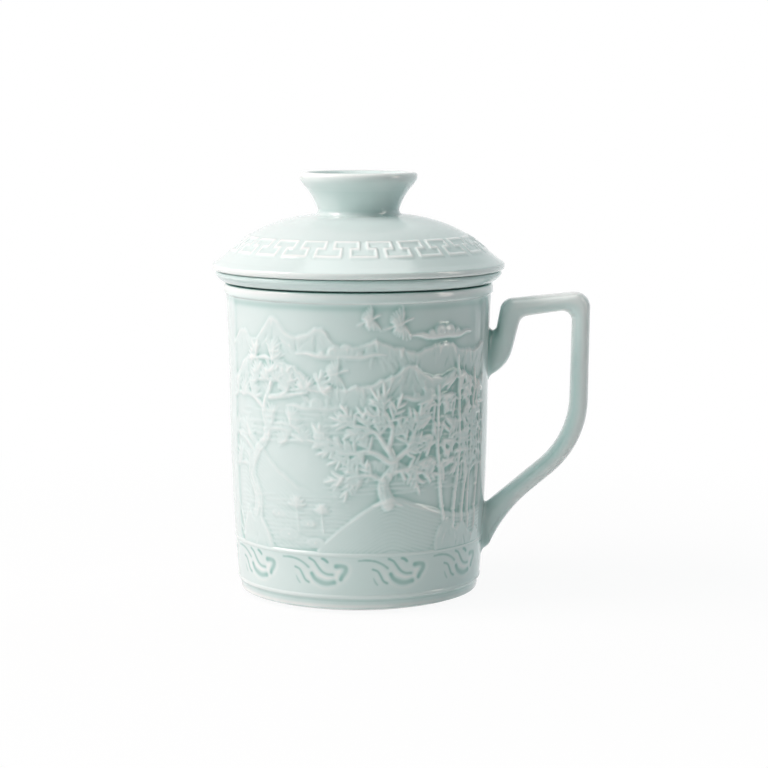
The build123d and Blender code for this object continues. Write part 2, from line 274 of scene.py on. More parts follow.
def glaze_tone(tree, place):
    """The glaze's colour from the pool attribute, shifted a little by the uneven dip."""
    pool = add_node(tree, "Attribute", attribute_name="pool")
    dip = add_node(tree, "TexNoise", {"Scale": DIP_SCALE, "Detail": 2.0}, {"Vector": place})
    shifted = add_node(tree, "Math", {1: DIP_SHIFT}, {0: dip.outputs["Fac"], 2: pool.outputs["Fac"]},
                       operation="MULTIPLY_ADD")
    spread = add_node(tree, "MapRange", {"From Min": POOL_TONES[0], "From Max": POOL_TONES[-1]},
                      {"Value": shifted.outputs[0]})
    tones = add_node(tree, "ValToRGB", links={"Fac": spread.outputs["Result"]})
    tones.color_ramp.interpolation = "EASE"
    stops = tones.color_ramp.elements
    for pooled in POOL_TONES[1:-1]:
        stops.new((pooled - POOL_TONES[0]) / (POOL_TONES[-1] - POOL_TONES[0]))
    for stop, tone in zip(stops, (THIN, PLAIN, DEEP, SEAM_SHADE)):
        stop.color = (*tone, 1)
    return tones.outputs["Color"]


def celadon(name, bare_foot=False):
    """The green glaze. With a bare foot, the clay shows on the ring that stands on the table."""
    material, tree, shader = new_material(name)
    place = add_node(tree, "TexCoord").outputs["Object"]
    colour = glaze_tone(tree, place)
    for socket, value in SHADER_VALUES.items():
        shader.inputs[socket].default_value = value
    if bare_foot:
        height = add_node(tree, "SeparateXYZ", links={"Vector": place})
        bare = add_node(tree, "MapRange", {"From Min": BARE_BELOW * MM,
                                           "From Max": (BARE_BELOW - BARE_FADE) * MM},
                        {"Value": height.outputs["Z"]})
        foot = add_node(tree, "Mix", {"B": (*CLAY, 1)}, {"Factor": bare.outputs["Result"], "A": colour},
                        data_type="RGBA")
        colour = foot.outputs["Result"]
        matt = add_node(tree, "MapRange", {"To Min": GLOSS, "To Max": BARE_GLOSS},
                        {"Value": bare.outputs["Result"]})
        tree.links.new(matt.outputs["Result"], shader.inputs["Roughness"])
    tree.links.new(colour, shader.inputs["Base Color"])
    ripple = add_node(tree, "TexNoise", {"Scale": RIPPLE_SCALE, "Detail": 1.0}, {"Vector": place})
    bump = add_node(tree, "Bump", {"Strength": 0.05, "Distance": RIPPLE_RISE * MM},
                    {"Height": ripple.outputs["Fac"]})
    tree.links.new(bump.outputs["Normal"], shader.inputs["Normal"])
    return material


GLAZE = {"body_glaze": celadon("celadon_body", bare_foot=True),
         "infuser_glaze": celadon("celadon_infuser"),
         "lid_glaze": celadon("celadon_lid")}
print("glazes:", sorted(GLAZE))


# %% From clay to a finished piece
def fire(name, bm, body, slot, node, extra=None):
    """Makes a piece of the bmesh: metres, smooth faces, glaze, and the body that it rides on."""
    bmesh.ops.scale(bm, vec=(MM, MM, MM), verts=bm.verts[:])
    mesh = bpy.data.meshes.new(name)
    bm.to_mesh(mesh)
    bm.free()
    for polygon in mesh.polygons:
        polygon.use_smooth = True
    keep_pool(mesh, extra)
    mesh.materials.append(GLAZE[slot])
    piece = bpy.data.objects.new(name, mesh)
    bpy.context.scene.collection.objects.link(piece)
    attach(piece, body)
    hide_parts(node)
    triangles = sum(len(p.vertices) - 2 for p in mesh.polygons)
    size = ", ".join(f"{d / MM:.1f}" for d in piece.dimensions)
    print(f"{name}: {triangles} triangles, {size} mm")
    return piece


# %% [markdown]
# ## The wall's own curve
#
# The wall isn't a straight cylinder. It swells a little from the base to the belly and then flares
# towards the lip. Several pieces have to lie on it, so it is one function: give it a height, and it
# gives the outside radius.

# %% The wall as a function of height
WALL_R, WALL_T = 43.55, 3.5
BASE_R, BASE_Z = 41.0, 5.85
BELLY_Z, SWELL, TOP_FLARE = 68.0, 0.5, 0.9
BAND_Z, MUG_HEIGHT = 101.1, 104.8
LIP_R, LIP_STEP, LIP_T, LIP_ROUND = 45.1, 0.65, 3.8, 0.95
LIP_TOP = MUG_HEIGHT - 0.12
BEAD_R, BEAD_SET, WAIST_BEAD_Z = 1.1, 0.92, 19.6

lower_wall = arc_through((BASE_R, BASE_Z), ((BASE_R + WALL_R) / 2 + SWELL, (BASE_Z + BELLY_Z) / 2),
                         (WALL_R, BELLY_Z), 60)
upper_wall = arc_from((WALL_R, BELLY_Z), heading_at_end(lower_wall), (WALL_R + TOP_FLARE, BAND_Z), 40)
wall_points = np.array(lower_wall + upper_wall[1:])


def wall_radius(height):
    return np.interp(height, wall_points[:, 1], wall_points[:, 0])


print("wall radius at 20, 60 and 100 mm:", [round(float(wall_radius(z)), 2) for z in (20, 60, 100)])

# %% [markdown]
# ## The mug's plain parts
#
# This piece is everything of the mug that has no carving: the foot ring, the base band, the two beads,
# the lip and the inside. One outline makes it. Behind the carved walls the outline runs a little
# inside them, so that the carved pieces can be laid on it and their edges hide under the beads and
# under the lip band, where a real mug has a crease as well.

# %% Foot, beads, lip and bore
WALL_BACKING = 1.2        # how far this piece stays behind the carved walls
FOOT_R, FOOT_IN, FOOT_DEPTH, FLOOR_Z = 34.6, 31.8, 1.9, 5.6
FOOT_EDGE, FOOT_SIDE, FOOT_CREASE = (37.3, 0.7), (40.0, 1.7), (40.3, 4.3)   # the side, from below


def bead_points(radius, height, low_angle, high_angle, steps=14):
    """A bead's outline from its lower crease to its upper one."""
    angles = [math.radians(low_angle + (high_angle - low_angle) * k / steps) for k in range(steps + 1)]
    return [(radius - BEAD_SET + BEAD_R * math.cos(a), height + BEAD_R * math.sin(a)) for a in angles]


waist_r = float(wall_radius(WAIST_BEAD_Z))
inner_upper = [(r - WALL_T, z) for r, z in upper_wall[::5]]
mug_points = [
    (0, FOOT_DEPTH), (FOOT_IN, FOOT_DEPTH), (FOOT_IN, 0), (FOOT_R, 0), FOOT_EDGE, FOOT_SIDE, FOOT_CREASE,
    *bead_points(BASE_R, BASE_Z, -62, 74),
    (BASE_R - WALL_BACKING, BASE_Z + BEAD_R), (waist_r - WALL_BACKING, WAIST_BEAD_Z - BEAD_R),
    *bead_points(waist_r, WAIST_BEAD_Z, -74, 74),
    (waist_r - WALL_BACKING, WAIST_BEAD_Z + BEAD_R), (WALL_R - WALL_BACKING, BELLY_Z),
    (43.1, BAND_Z - 0.1), (WALL_R + TOP_FLARE - 0.1, BAND_Z - 0.05), (LIP_R, BAND_Z + LIP_STEP),
    (LIP_R, LIP_TOP), (LIP_R - LIP_T, LIP_TOP), (LIP_R - LIP_T, MUG_HEIGHT - 2.2),
    *reversed(inner_upper), (BASE_R - WALL_T, FLOOR_Z), (0, FLOOR_Z)]
plain_mug = outline(mug_points, rounds={
    (FOOT_IN, FOOT_DEPTH): 0.6, (FOOT_IN, 0): 0.5, (FOOT_R, 0): 0.8, FOOT_EDGE: 1.5, FOOT_SIDE: 0.8,
    (LIP_R, BAND_Z + LIP_STEP): 0.6, (LIP_R, LIP_TOP): LIP_ROUND,
    (LIP_R - LIP_T, LIP_TOP): LIP_ROUND, (BASE_R - WALL_T, FLOOR_Z): 7.0})
turn_on_wheel(plain_mug, 300)


def near(value, middle, reach):
    """1 at the middle, falling softly to 0 a reach away."""
    return np.exp(-((value - middle) / reach) ** 2)


def mug_extra(radius, height):
    """Thin glaze on the beads. The lip top is lighter, from thin glaze and from painted light against the
    flange's shadow. Painted light from the table lightens the foot, less just under the lower bead as
    painted shade, and painted shade darkens the gap under the infuser.
    """
    outside = radius > BASE_R - 1.0
    beads = near(height, WAIST_BEAD_Z, 0.6) + near(height, BASE_Z, 0.6)
    # painted light: the foot is lighter, as if the table lit it from below, and a little less so just under
    # the lower bead, which is painted shade
    foot = near(height, 1.5, 3.0) - 0.5 * near(height, BASE_Z - 1.3, 0.6)
    # painted shade: near black on the lip top, in the gap where the infuser's flange rests
    seat_shade = near(height, LIP_TOP, 0.15) * (radius < LIP_R - 0.45)
    # the top of the lip is lighter: partly thin glaze over the rim, partly painted light against the
    # flange's shadow
    lip = near(height, LIP_TOP - 0.8, 1.5)
    return outside * (-0.06 * beads - 0.12 * lip - 0.22 * foot) + 0.7 * seat_shade


fire("mug_foot_lip_and_bore", plain_mug, "mug", "body_glaze", "mug_body", mug_extra)

# %% [markdown]
# ## A sheet of clay to carve
#
# The carved parts are raised and pressed in a flat sheet first and then laid on the mug, as a sprigged
# or moulded wall is. The sheet is only a table of heights: u runs across it and v runs up, both in
# millimetres. A stroke is a line with a width at each of its points. Each cell near it asks how far it
# is from the line, as a share of the stroke's half width. Raised strokes are round like a bead of
# slip, pressed ones are a soft groove like a mark of a wooden tool. Where two raised strokes cross,
# the higher one wins.

# %% Raised and pressed strokes
class ClaySheet:
    """Heights in millimetres over a grid of places u across and v up."""

    def __init__(self, across, up):
        self.across, self.up = np.asarray(across, float), np.asarray(up, float)
        self.height = np.zeros((len(self.up), len(self.across)))
        self.ground = self.height.copy()

    def settle(self):
        """What is carved so far becomes the ground for what comes next."""
        self.ground = self.height.copy()

    def near(self, points, reach):
        """The cells within reach of some points: their rows, columns and places."""
        points = np.asarray(points, float)
        low, high = points.min(0) - reach, points.max(0) + reach
        columns = slice(*np.searchsorted(self.across, (low[0], high[0])))
        rows = slice(*np.searchsorted(self.up, (low[1], high[1])))
        u, v = np.meshgrid(self.across[columns], self.up[rows])
        return rows, columns, u, v

    def share(self, points, widths, u, v):
        """0 on a stroke's line, 1 at its edge, and more outside it."""
        best = np.full(u.shape, 99.0)
        for (u0, v0), (u1, v1), w0, w1 in zip(points, points[1:], widths, widths[1:]):
            du, dv = u1 - u0, v1 - v0
            along = np.clip(((u - u0) * du + (v - v0) * dv) / max(1e-9, du * du + dv * dv), 0, 1)
            gap = np.hypot(u - u0 - along * du, v - v0 - along * dv)
            best = np.minimum(best, gap / (w0 + (w1 - w0) * along))
        return best

    def raised(self, points, widths, top, foot=0.0, riding=False):
        """A round stroke; top and foot are heights above the ground, or above all there is if riding."""
        rows, columns, u, v = self.near(points, max(widths))
        share = self.share(points, widths, u, v)
        bead = foot + (top - foot) * np.sqrt(np.clip(1 - share ** 2, 0, 1))
        spot = self.height[rows, columns]
        under = spot if riding else 0.7 * self.ground[rows, columns]
        spot[...] = np.where(share < 1, np.maximum(spot, under + bead), spot)

    def pressed(self, points, widths, depth):
        """A soft groove."""
        rows, columns, u, v = self.near(points, max(widths))
        share = self.share(points, widths, u, v)
        self.height[rows, columns] -= depth * np.clip(1 - share ** 2, 0, 1) ** 0.7

    def disc(self, at, wide, tall, top, edge=0.5):
        """A flat oval with a soft edge; a negative top sinks it instead."""
        rows, columns, u, v = self.near([at], max(wide, tall))
        share = np.hypot((u - at[0]) / wide, (v - at[1]) / tall)
        rim = np.clip((1 - share) * min(wide, tall) / edge, 0, 1)
        rim = rim * rim * (3 - 2 * rim)
        spot = self.height[rows, columns]
        spot[...] = np.maximum(spot, top * rim) if top > 0 else spot + top * rim


def bend(points, steps=6):
    """A smooth curve through some points, for strokes that flow."""
    points = np.asarray(points, float)
    ends = np.vstack([2 * points[0] - points[1], points, 2 * points[-1] - points[-2]])
    out = []
    for a, b, c, d in zip(ends, ends[1:], ends[2:], ends[3:]):
        for t in np.linspace(0, 1, steps, endpoint=False):
            out.append(0.5 * (2 * b + (c - a) * t + (2 * a - 5 * b + 4 * c - d) * t * t
                              + (3 * b - a - 3 * c + d) * t ** 3))
    return np.array(out + [points[-1]])


def taper(count, start, middle, end):
    """Half widths along a stroke: start, middle and end, joined smoothly."""
    return np.interp(np.linspace(0, 1, count), (0, 0.5, 1), (start, middle, end))


def soften(heights, across, up, reach):
    """Heights blurred by about reach millimetres, along both ways of the sheet."""
    for axis, places in ((1, across), (0, up)):
        step = float(np.median(np.diff(places)))
        half = max(1, round(3 * reach / step))
        weights = np.exp(-0.5 * (np.arange(-half, half + 1) * step / reach) ** 2)
        padded = np.pad(heights, [(half, half) if a == axis else (0, 0) for a in (0, 1)], mode="edge")
        heights = np.apply_along_axis(np.convolve, axis, padded, weights / weights.sum(), "valid")
    return heights


# %% [markdown]
# ## The wave band
#
# Round the base runs a band of waves, pressed into the leather-hard clay with a few strokes of a
# rounded tool, ten times round. It is an old and simple pattern: a long crest, two following swells, a
# deep bowl and a curl. The strokes are about half a millimetre deep, and the glaze fills them and
# turns green. One wave is written as strokes, u from the curl and v from the table, and copied round.

# %% Ten waves round the base
WAVES = 10
WAVE_TURN = 29.3          # angle of one curl, from the front towards the handle
WAVE_DEPTH = 0.5
WAVE_BLUR, WAVE_POOL_BLUR = 0.27, 1.2   # mm: how soft the strokes are, and how far glaze is drawn to them
UNDER_BEAD = 0.08         # how much glaze gathers under the upper bead
WAVE_FILL = 0.88          # share of a stroke that glaze fills
BAND_LOW, BAND_HIGH = BASE_Z + 0.1, WAIST_BEAD_Z - 0.1

wave_strokes = [
    ([(-21.0, 17.9), (-18.3, 18.0), (-15.5, 17.6), (-13.1, 16.5), (-11.4, 15.2)], (0.28, 0.5, 0.68), 0.75),
    ([(-11.2, 18.3), (-9.5, 17.4), (-8.3, 15.8), (-6.9, 14.1), (-5.2, 13.2), (-3.3, 13.1)],
     (0.45, 0.7, 0.75), 0.85),
    ([(-6.9, 18.3), (-5.9, 18.0), (-4.9, 17.2)], (0.4, 0.64, 0.6), 0.9),
    ([(-16.4, 15.0), (-14.7, 14.3), (-13.6, 12.5), (-12.8, 11.0), (-11.5, 10.2)], (0.5, 0.6, 0.62), 0.85),
    ([(-16.1, 12.1), (-15.5, 10.8), (-14.7, 9.7)], (0.3, 0.45, 0.4), 0.65),
    ([(-10.4, 13.2), (-9.3, 11.6), (-7.2, 10.5), (-5.2, 10.2), (-2.9, 10.6)], (1.0, 1.5, 1.25), 1.0),
    ([(-2.0, 15.9), (-0.4, 15.9), (0.8, 15.4), (0.6, 14.0), (-0.2, 12.7), (-0.7, 11.6)],
     (1.25, 1.45, 1.0), 1.0),
]

around = np.linspace(0, 2 * math.pi, 1001)
band_r = float(wall_radius(13.0))
length_round = 2 * math.pi * band_r
wave_sheet = ClaySheet(around * band_r, np.linspace(BAND_LOW, BAND_HIGH, 46))
for wave in range(WAVES):
    curl = math.radians(WAVE_TURN - 90 + 360 / WAVES * wave) % (2 * math.pi) * band_r
    for places, widths, share in wave_strokes:
        for whole_turn in (-length_round, 0, length_round):
            line = bend([(curl + whole_turn + u, v) for u, v in places])
            wave_sheet.pressed(line, taper(len(line), *widths), WAVE_DEPTH * share)
wave_clay = soften(wave_sheet.height, wave_sheet.across, wave_sheet.up, WAVE_BLUR)
wave_pool = soften(wave_clay, wave_sheet.across, wave_sheet.up, WAVE_POOL_BLUR) - wave_clay
wave_pool += UNDER_BEAD * np.exp(-(WAIST_BEAD_Z - 0.6 - wave_sheet.up) / 1.1)[:, None]
wave_height = (1 - WAVE_FILL) * wave_clay

face = wall_radius(wave_sheet.up)[:, None] + wave_height
back = np.array([[BASE_R - 2.0], [waist_r - 2.0]]) + np.zeros((2, len(around)))
band = roll_round(np.vstack([face, back[::-1], face[:1]]),
                  np.concatenate([wave_sheet.up, [BAND_HIGH, BAND_LOW, BAND_LOW]])[:, None],
                  np.vstack([wave_pool, 0 * back, wave_pool[:1]]))
fire("mug_wave_band", band, "mug", "body_glaze", "mug_body")
print("waves:", WAVES, "deepest stroke:", round(-float(wave_clay.min()), 2), "mm in the clay")

# %% [markdown]
# ## Laying a carved sheet on the mug
#
# A carved piece is a flat grid with one point for each cell of its sheet. Its long sides are extruded
# backwards, bridged and filled, so that it is a closed slab. Then every point of the slab moves to its
# place on the mug: the face to the wall plus the clay's height, the back a little inside the wall. The
# border edges are marked sharp, so that the face shades as if the wall ran on past them.

# %% A slab that wraps
SLAB_BACK = 2.2           # how deep a carved slab sits in the wall


def slab(columns, rows):
    """A closed flat slab: its face is a grid in x and y from 0 to 1 at z = 0, its back is at z = -1."""
    bm = bmesh.new()
    bmesh.ops.create_grid(bm, x_segments=columns - 1, y_segments=rows - 1, size=0.5)
    bmesh.ops.translate(bm, vec=(0.5, 0.5, 0), verts=bm.verts[:])
    long_sides = [e for e in bm.edges if e.is_boundary and abs(e.verts[0].co.y - e.verts[1].co.y) < 1e-9]
    made = bmesh.ops.extrude_edge_only(bm, edges=long_sides)["geom"]
    new_points = [g for g in made if isinstance(g, bmesh.types.BMVert)]
    bmesh.ops.translate(bm, vec=(0, 0, -1), verts=new_points)
    back_sides = [e for e in bm.edges if all(v.co.z < -0.5 for v in e.verts)]
    bmesh.ops.bridge_loops(bm, edges=back_sides)
    open_edges = [e for e in bm.edges if e.is_boundary]
    bmesh.ops.holes_fill(bm, edges=open_edges, sides=0)
    bmesh.ops.recalc_face_normals(bm, faces=bm.faces[:])
    for e in bm.edges:
        faces_front = [all(abs(v.co.z) < 1e-9 for v in f.verts) and len(f.verts) == 4 for f in e.link_faces]
        if len(set(faces_front)) > 1:
            e.smooth = False
    return bm


def lay_on_mug(bm, angles, heights, radii, pool):
    """Moves a slab's points to their places; radii and pool have one value for each cell."""
    layer = bm.verts.layers.float.new("pool")
    for v in bm.verts:
        column, row = round(v.co.x * (len(angles) - 1)), round(v.co.y * (len(heights) - 1))
        angle, height = float(angles[column]), float(heights[row])
        back = v.co.z < -0.5
        radius = float(wall_radius(height)) - SLAB_BACK if back else float(radii[row, column])
        v.co = (radius * math.cos(angle), radius * math.sin(angle), height)
        v[layer] = 0.0 if back else float(pool[row, column])


# %% [markdown]
# ## The carved walls
#
# The wall is one sheet of clay on each side of the mug, front and back, and the two meet in the plain
# strips under the handle and opposite it. Each has a shallow window with rounded corners. The strips
# need few points and the window needs many, so the columns of the grid stand close together in the
# window and drift apart outside it.

# %% The sheet's grid and its window
PANEL_ARC, PANEL_TURN, PANEL_DEPTH, PANEL_CORNER = 139.0, 0.75, 0.55, 3.0
CELL = 0.31               # distance between the points of the carving
WALL_LOW, WALL_HIGH = WAIST_BEAD_Z + 0.1, BAND_Z + 0.25
panel_half = math.radians(PANEL_ARC / 2) * WALL_R
panel_low, panel_high = WAIST_BEAD_Z + 0.5, BAND_Z + 0.2
window_columns = np.arange(-panel_half - 1.2, panel_half + 1.2, CELL)
widening = np.cumsum([0.45, 0.7, 1.0, 1.4, 1.7, 1.9, 1.9, 1.9, 1.7, 1.3, 0.8, 0.45])


def wall_columns(turn):
    """Places across a half wall, from seam to seam, in mm from the middle of its window."""
    low, high = math.radians(-90 - turn) * WALL_R, math.radians(90 - turn) * WALL_R
    left = window_columns[0] - widening / widening[-1] * (window_columns[0] - low)
    right = window_columns[-1] + widening / widening[-1] * (high - window_columns[-1])
    return np.concatenate([left[::-1], window_columns, right])


def window_depth(u, v):
    """How deep the ground lies: 0 outside the window, PANEL_DEPTH inside, softest at its top edge."""
    middle, reach = (panel_low + panel_high) / 2, (panel_high - panel_low) / 2
    over_u = np.abs(u) - panel_half + PANEL_CORNER
    over_v = np.abs(v - middle) - reach + PANEL_CORNER
    out = np.hypot(np.maximum(over_u, 0), np.maximum(over_v, 0)) + np.minimum(np.maximum(over_u, over_v), 0)
    edge = np.interp(v, (middle, panel_high - 4), (0.6, 1.5))
    inside = np.clip(0.5 - (out - PANEL_CORNER + edge - 0.6) / (2 * edge), 0, 1)
    return PANEL_DEPTH * inside * inside * (3 - 2 * inside)


# %% [markdown]
# ## A landscape in low relief
#
# The panel is worked as a carver works it, from far to near: hills and mist first, then the lake, then
# rock and field, and the trees last, over everything. Broad forms are worked with their crest: the
# ground swells under a line and fades downwards, as mist does. Once they are done they count as the
# ground for what comes next. Random numbers vary each stroke, and they are seeded, so the panel is the
# same each time.

# %% Ground: hills, terraces, ripples and mist
def crest_height(crest, across, rough, rng):
    """The height of a crest line over each column, with some roughness."""
    line = bend(crest, 8)
    height = np.interp(across, line[:, 0], line[:, 1])
    for wave in (9.0, 4.1, 1.9):
        height = height + rough * wave / 9 * np.sin(math.tau * (across / wave + rng.uniform(0, 1)))
    return height


def hill(sheet, crest, top, fall, rng, rough=0.0, foot=0.0, terrace=0.0, gap=1.1, ends=0.8):
    """Ground that swells under a crest line and fades downwards; terrace adds level lines to it."""
    height = crest_height(crest, sheet.across, rough, rng)[None, :]
    below = height - sheet.up[:, None]
    edge_u = np.minimum(sheet.across - crest[0][0], crest[-1][0] - sheet.across)[None, :]
    rim, side = np.clip(below / 0.8, 0, 1), np.clip(edge_u / ends, 0, 1)
    rim = (rim * side) ** 2 * (3 - 2 * rim) * (3 - 2 * side)
    form = top * rim * (foot + (1 - foot) * np.exp(-np.maximum(below, 0) / fall))
    if terrace:
        lines = 0.5 + 0.5 * np.cos(math.tau * (below - 0.2) / gap)
        form = form + terrace * (lines ** 1.6 - 0.4) * np.clip((below - 0.6) / 0.6, 0, 1) * rim
    sheet.height = np.where(rim > 0, np.maximum(sheet.height * (1 - rim), form), sheet.height)
    return height[0]


def slope_strokes(sheet, height, crest, count, length, rng, depth=6.0):
    """Strokes that run down the flanks from a crest, as a carver hatches a mountain."""
    even = np.convolve(np.pad(height, 6, mode="edge"), np.ones(13) / 13, "valid")
    steep = np.gradient(even, sheet.across)
    for u in rng.uniform(crest[0][0] + 1, crest[-1][0] - 1, count):
        v = float(np.interp(u, sheet.across, height)) - depth * rng.uniform(0.05, 1) ** 1.6
        lean = math.tanh(1.6 * float(np.interp(u, sheet.across, steep)))
        line = stroke_from((u, v), -90 - 42 * lean + rng.normal(0, 9), length * rng.uniform(0.5, 1.3),
                           rng.uniform(-0.18, 0.18))
        if rng.random() < 0.5:
            sheet.pressed(line, taper(len(line), 0.3, 0.36, 0.2), rng.uniform(0.08, 0.18))
        else:
            sheet.raised(line, taper(len(line), 0.4, 0.4, 0.2), rng.uniform(0.1, 0.22), riding=True)


def ripples(sheet, low, high, left, right, gap, rise, rng, sag=0.0, calm=6.0):
    """Long level lines on water, broken here and there."""
    for v in np.arange(low, high, gap):
        u = left + rng.uniform(0, 4)
        while u < right:
            length = min(rng.uniform(5, 17), right - u)
            places = [(u + length * t, v + sag * ((u + length * t) / 30) ** 2 + 0.18 * math.sin(u + 5 * t))
                      for t in (0, 0.25, 0.5, 0.75, 1)]
            sheet.raised(bend(places, 3), taper(13, 0.2, 0.42, 0.2), rise, riding=True)
            u += length + rng.choice((0.8, 2.0, 3.5, calm))


def cloud(sheet, at, wide, rng, top=0.55):
    """A cloud with a level foot, round heads with curls in them, and two long tails."""
    u, v = at
    count = max(3, round(wide / 4.2))
    for k in range(count):
        across = 2 * k / (count - 1) - 1
        size = (2.5 - 1.2 * across ** 2) * rng.uniform(0.85, 1.1)
        middle = (u + across * wide * 0.36, v + size * 0.55)
        sheet.disc(middle, size * 1.15, size, top * rng.uniform(0.8, 1.05), 0.7)
        turn = np.linspace(0.4, 6.6, 12)
        curl = np.stack([middle[0] + size * 0.15 * turn ** 0.85 * np.cos(turn + k),
                         middle[1] + size * 0.13 * turn ** 0.85 * np.sin(turn + k)], 1)
        sheet.pressed(curl, taper(12, 0.22, 0.3, 0.26), 0.16)
    for side in (-1, 1):
        tail = bend([(u, v), (u + side * wide * 0.4, v - 0.3), (u + side * wide * 0.66, v + 0.5),
                     (u + side * wide * 0.9, v + 0.2)], 5)
        sheet.raised(tail, taper(len(tail), 1.2, 0.8, 0.2), top)


# %% [markdown]
# ## Leaves, needles and branches
#
# Everything that grows is made of one small thing, a pointed stroke that bends a little. Many of them
# along a twig are a spray of leaves, and many from one point are a tuft of pine needles. A branch is a
# long round stroke with smaller growth along it. A carver works in the same way, with a few strokes
# that the hand knows and repeats.

# %% Strokes, leaves and needles
def stroke_from(at, heading, length, curl=0.0, steps=5):
    """A line from a place, heading in degrees, that bends sideways by curl times its length."""
    t, h = np.linspace(0, 1, steps)[:, None], math.radians(heading)
    forward, side = np.array([math.cos(h), math.sin(h)]), np.array([-math.sin(h), math.cos(h)])
    return np.array(at) + length * (t * forward + curl * t * t * side)


def leaf(sheet, at, heading, length, width, top, curl=0.0):
    """A pointed leaf; width is half its greatest width."""
    sheet.raised(stroke_from(at, heading, length, curl), width * np.array([0.5, 0.95, 1.0, 0.7, 0.2]), top)


def tuft(sheet, at, heading, reach, count, top, rng, spread=70, width=0.43):
    """Pine needles from one point."""
    for k in range(count):
        across = 2 * k / (count - 1) - 1
        length = reach * (1 - 0.2 * abs(across)) * rng.uniform(0.85, 1.08)
        leaf(sheet, at, heading + spread * across + rng.uniform(-4, 4), length, width,
             top * rng.uniform(0.6, 1.1), rng.uniform(-0.08, 0.08))


def pine_pad(sheet, at, wide, rng, top=0.8):
    """A flat cloud of tufts, higher in its middle, on a twig."""
    twig = [(at[0] - wide * 0.45, at[1] - 0.6), at, (at[0] + wide * 0.45, at[1] - 0.6)]
    sheet.raised(twig, (0.4, 0.7, 0.3), top * 0.8)
    for row in range(2):
        count = max(2, round(wide / 3.7) - row)
        for k in range(count):
            across = (2 * k / (count - 1) - 1) * (1 - 0.15 * row)
            u = at[0] + across * wide / 2 + rng.uniform(-0.3, 0.3)
            v = at[1] + 2.3 * row - 0.9 * across ** 2 + rng.uniform(-0.25, 0.25)
            tuft(sheet, (u, v), 90 - 48 * across, rng.uniform(4.3, 5.4), 9, top * (1 - 0.1 * row), rng)


# %% Twigs, branches and canes
def place_on(line, run, at):
    """The place on a line where the run along it, one value for each of its points, reaches at."""
    return np.array([np.interp(at, run, line[:, c]) for c in (0, 1)])


def spray(sheet, at, heading, length, leaves, size, top, rng, curl=0.0, width=0.54):
    """A twig with pointed leaves on both sides and one at its tip."""
    twig = stroke_from(at, heading, length, curl, 7)
    sheet.raised(twig, taper(7, 0.36, 0.3, 0.22), top * 0.85)
    for k in range(leaves):
        t = (k + 0.6) / leaves
        spot = place_on(twig, np.linspace(0, 1, 7), t)
        side = 1 if k % 2 else -1
        turn = heading + math.degrees(2 * curl * t) + side * rng.uniform(24, 46)
        leaf(sheet, spot, turn, size * rng.uniform(0.75, 1.1) * (1 - 0.25 * t), width,
             top * rng.uniform(0.75, 1.05), side * rng.uniform(-0.05, 0.16))
    leaf(sheet, twig[-1], heading + math.degrees(2 * curl), size * 0.9, width, top)


def limb(sheet, places, widths, top, rng, bark=0.0):
    """A trunk or a branch, with strokes of bark along it."""
    line = bend(places, 6)
    sheet.raised(line, taper(len(line), *widths), top, 0.25 * top)
    reach = taper(len(line), *widths)
    for k in range(int(bark * len(line))):
        at = rng.integers(1, len(line) - 3)
        ahead = line[at + 2] - line[at]
        side = np.array([-ahead[1], ahead[0]]) / max(0.1, float(np.hypot(*ahead)))
        start = line[at] + side * reach[at] * rng.uniform(-0.6, 0.6)
        end = start + 1.1 * ahead + side * rng.uniform(-0.3, 0.3)
        sheet.pressed([start, start + 0.5 * ahead, end], (0.2, 0.3, 0.16), rng.uniform(0.12, 0.24))
    return line


def feather_limb(sheet, places, widths, rng, first=0.35, every=2.2, size=5.0, top=0.85, reach=6.2):
    """A branch with sprays of leaves along its outer part."""
    line = limb(sheet, places, widths, top, rng, 0.5)
    steps = np.hypot(*np.diff(line, axis=0).T)
    run = np.concatenate([[0], np.cumsum(steps)])
    side = 1
    for at in np.arange(first * run[-1], run[-1], every):
        spot = place_on(line, run, at)
        ahead = place_on(line, run, min(at + 1, run[-1])) - place_on(line, run, max(at - 1, 0))
        heading = math.degrees(math.atan2(ahead[1], ahead[0]))
        side = -side
        spray(sheet, spot, heading + side * rng.uniform(24, 58), reach * rng.uniform(0.5, 1.0), 5,
              size * rng.uniform(0.8, 1.1), top * rng.uniform(0.85, 1.05), rng,
              side * rng.uniform(-0.2, 0.1))
    spray(sheet, line[-1], heading, reach * 0.6, 5, size, top, rng)


def blossom(sheet, at, size, top, rng):
    """Five round petals about a dimple."""
    start = rng.uniform(0, 72)
    for k in range(5):
        petal = stroke_from(at, start + 72 * k, size * 0.75, 0, 2)
        sheet.raised(petal, (size * 0.3, size * 0.5), top)
    sheet.pressed([at, (at[0] + 0.05, at[1])], (size * 0.34, size * 0.34), 0.3)


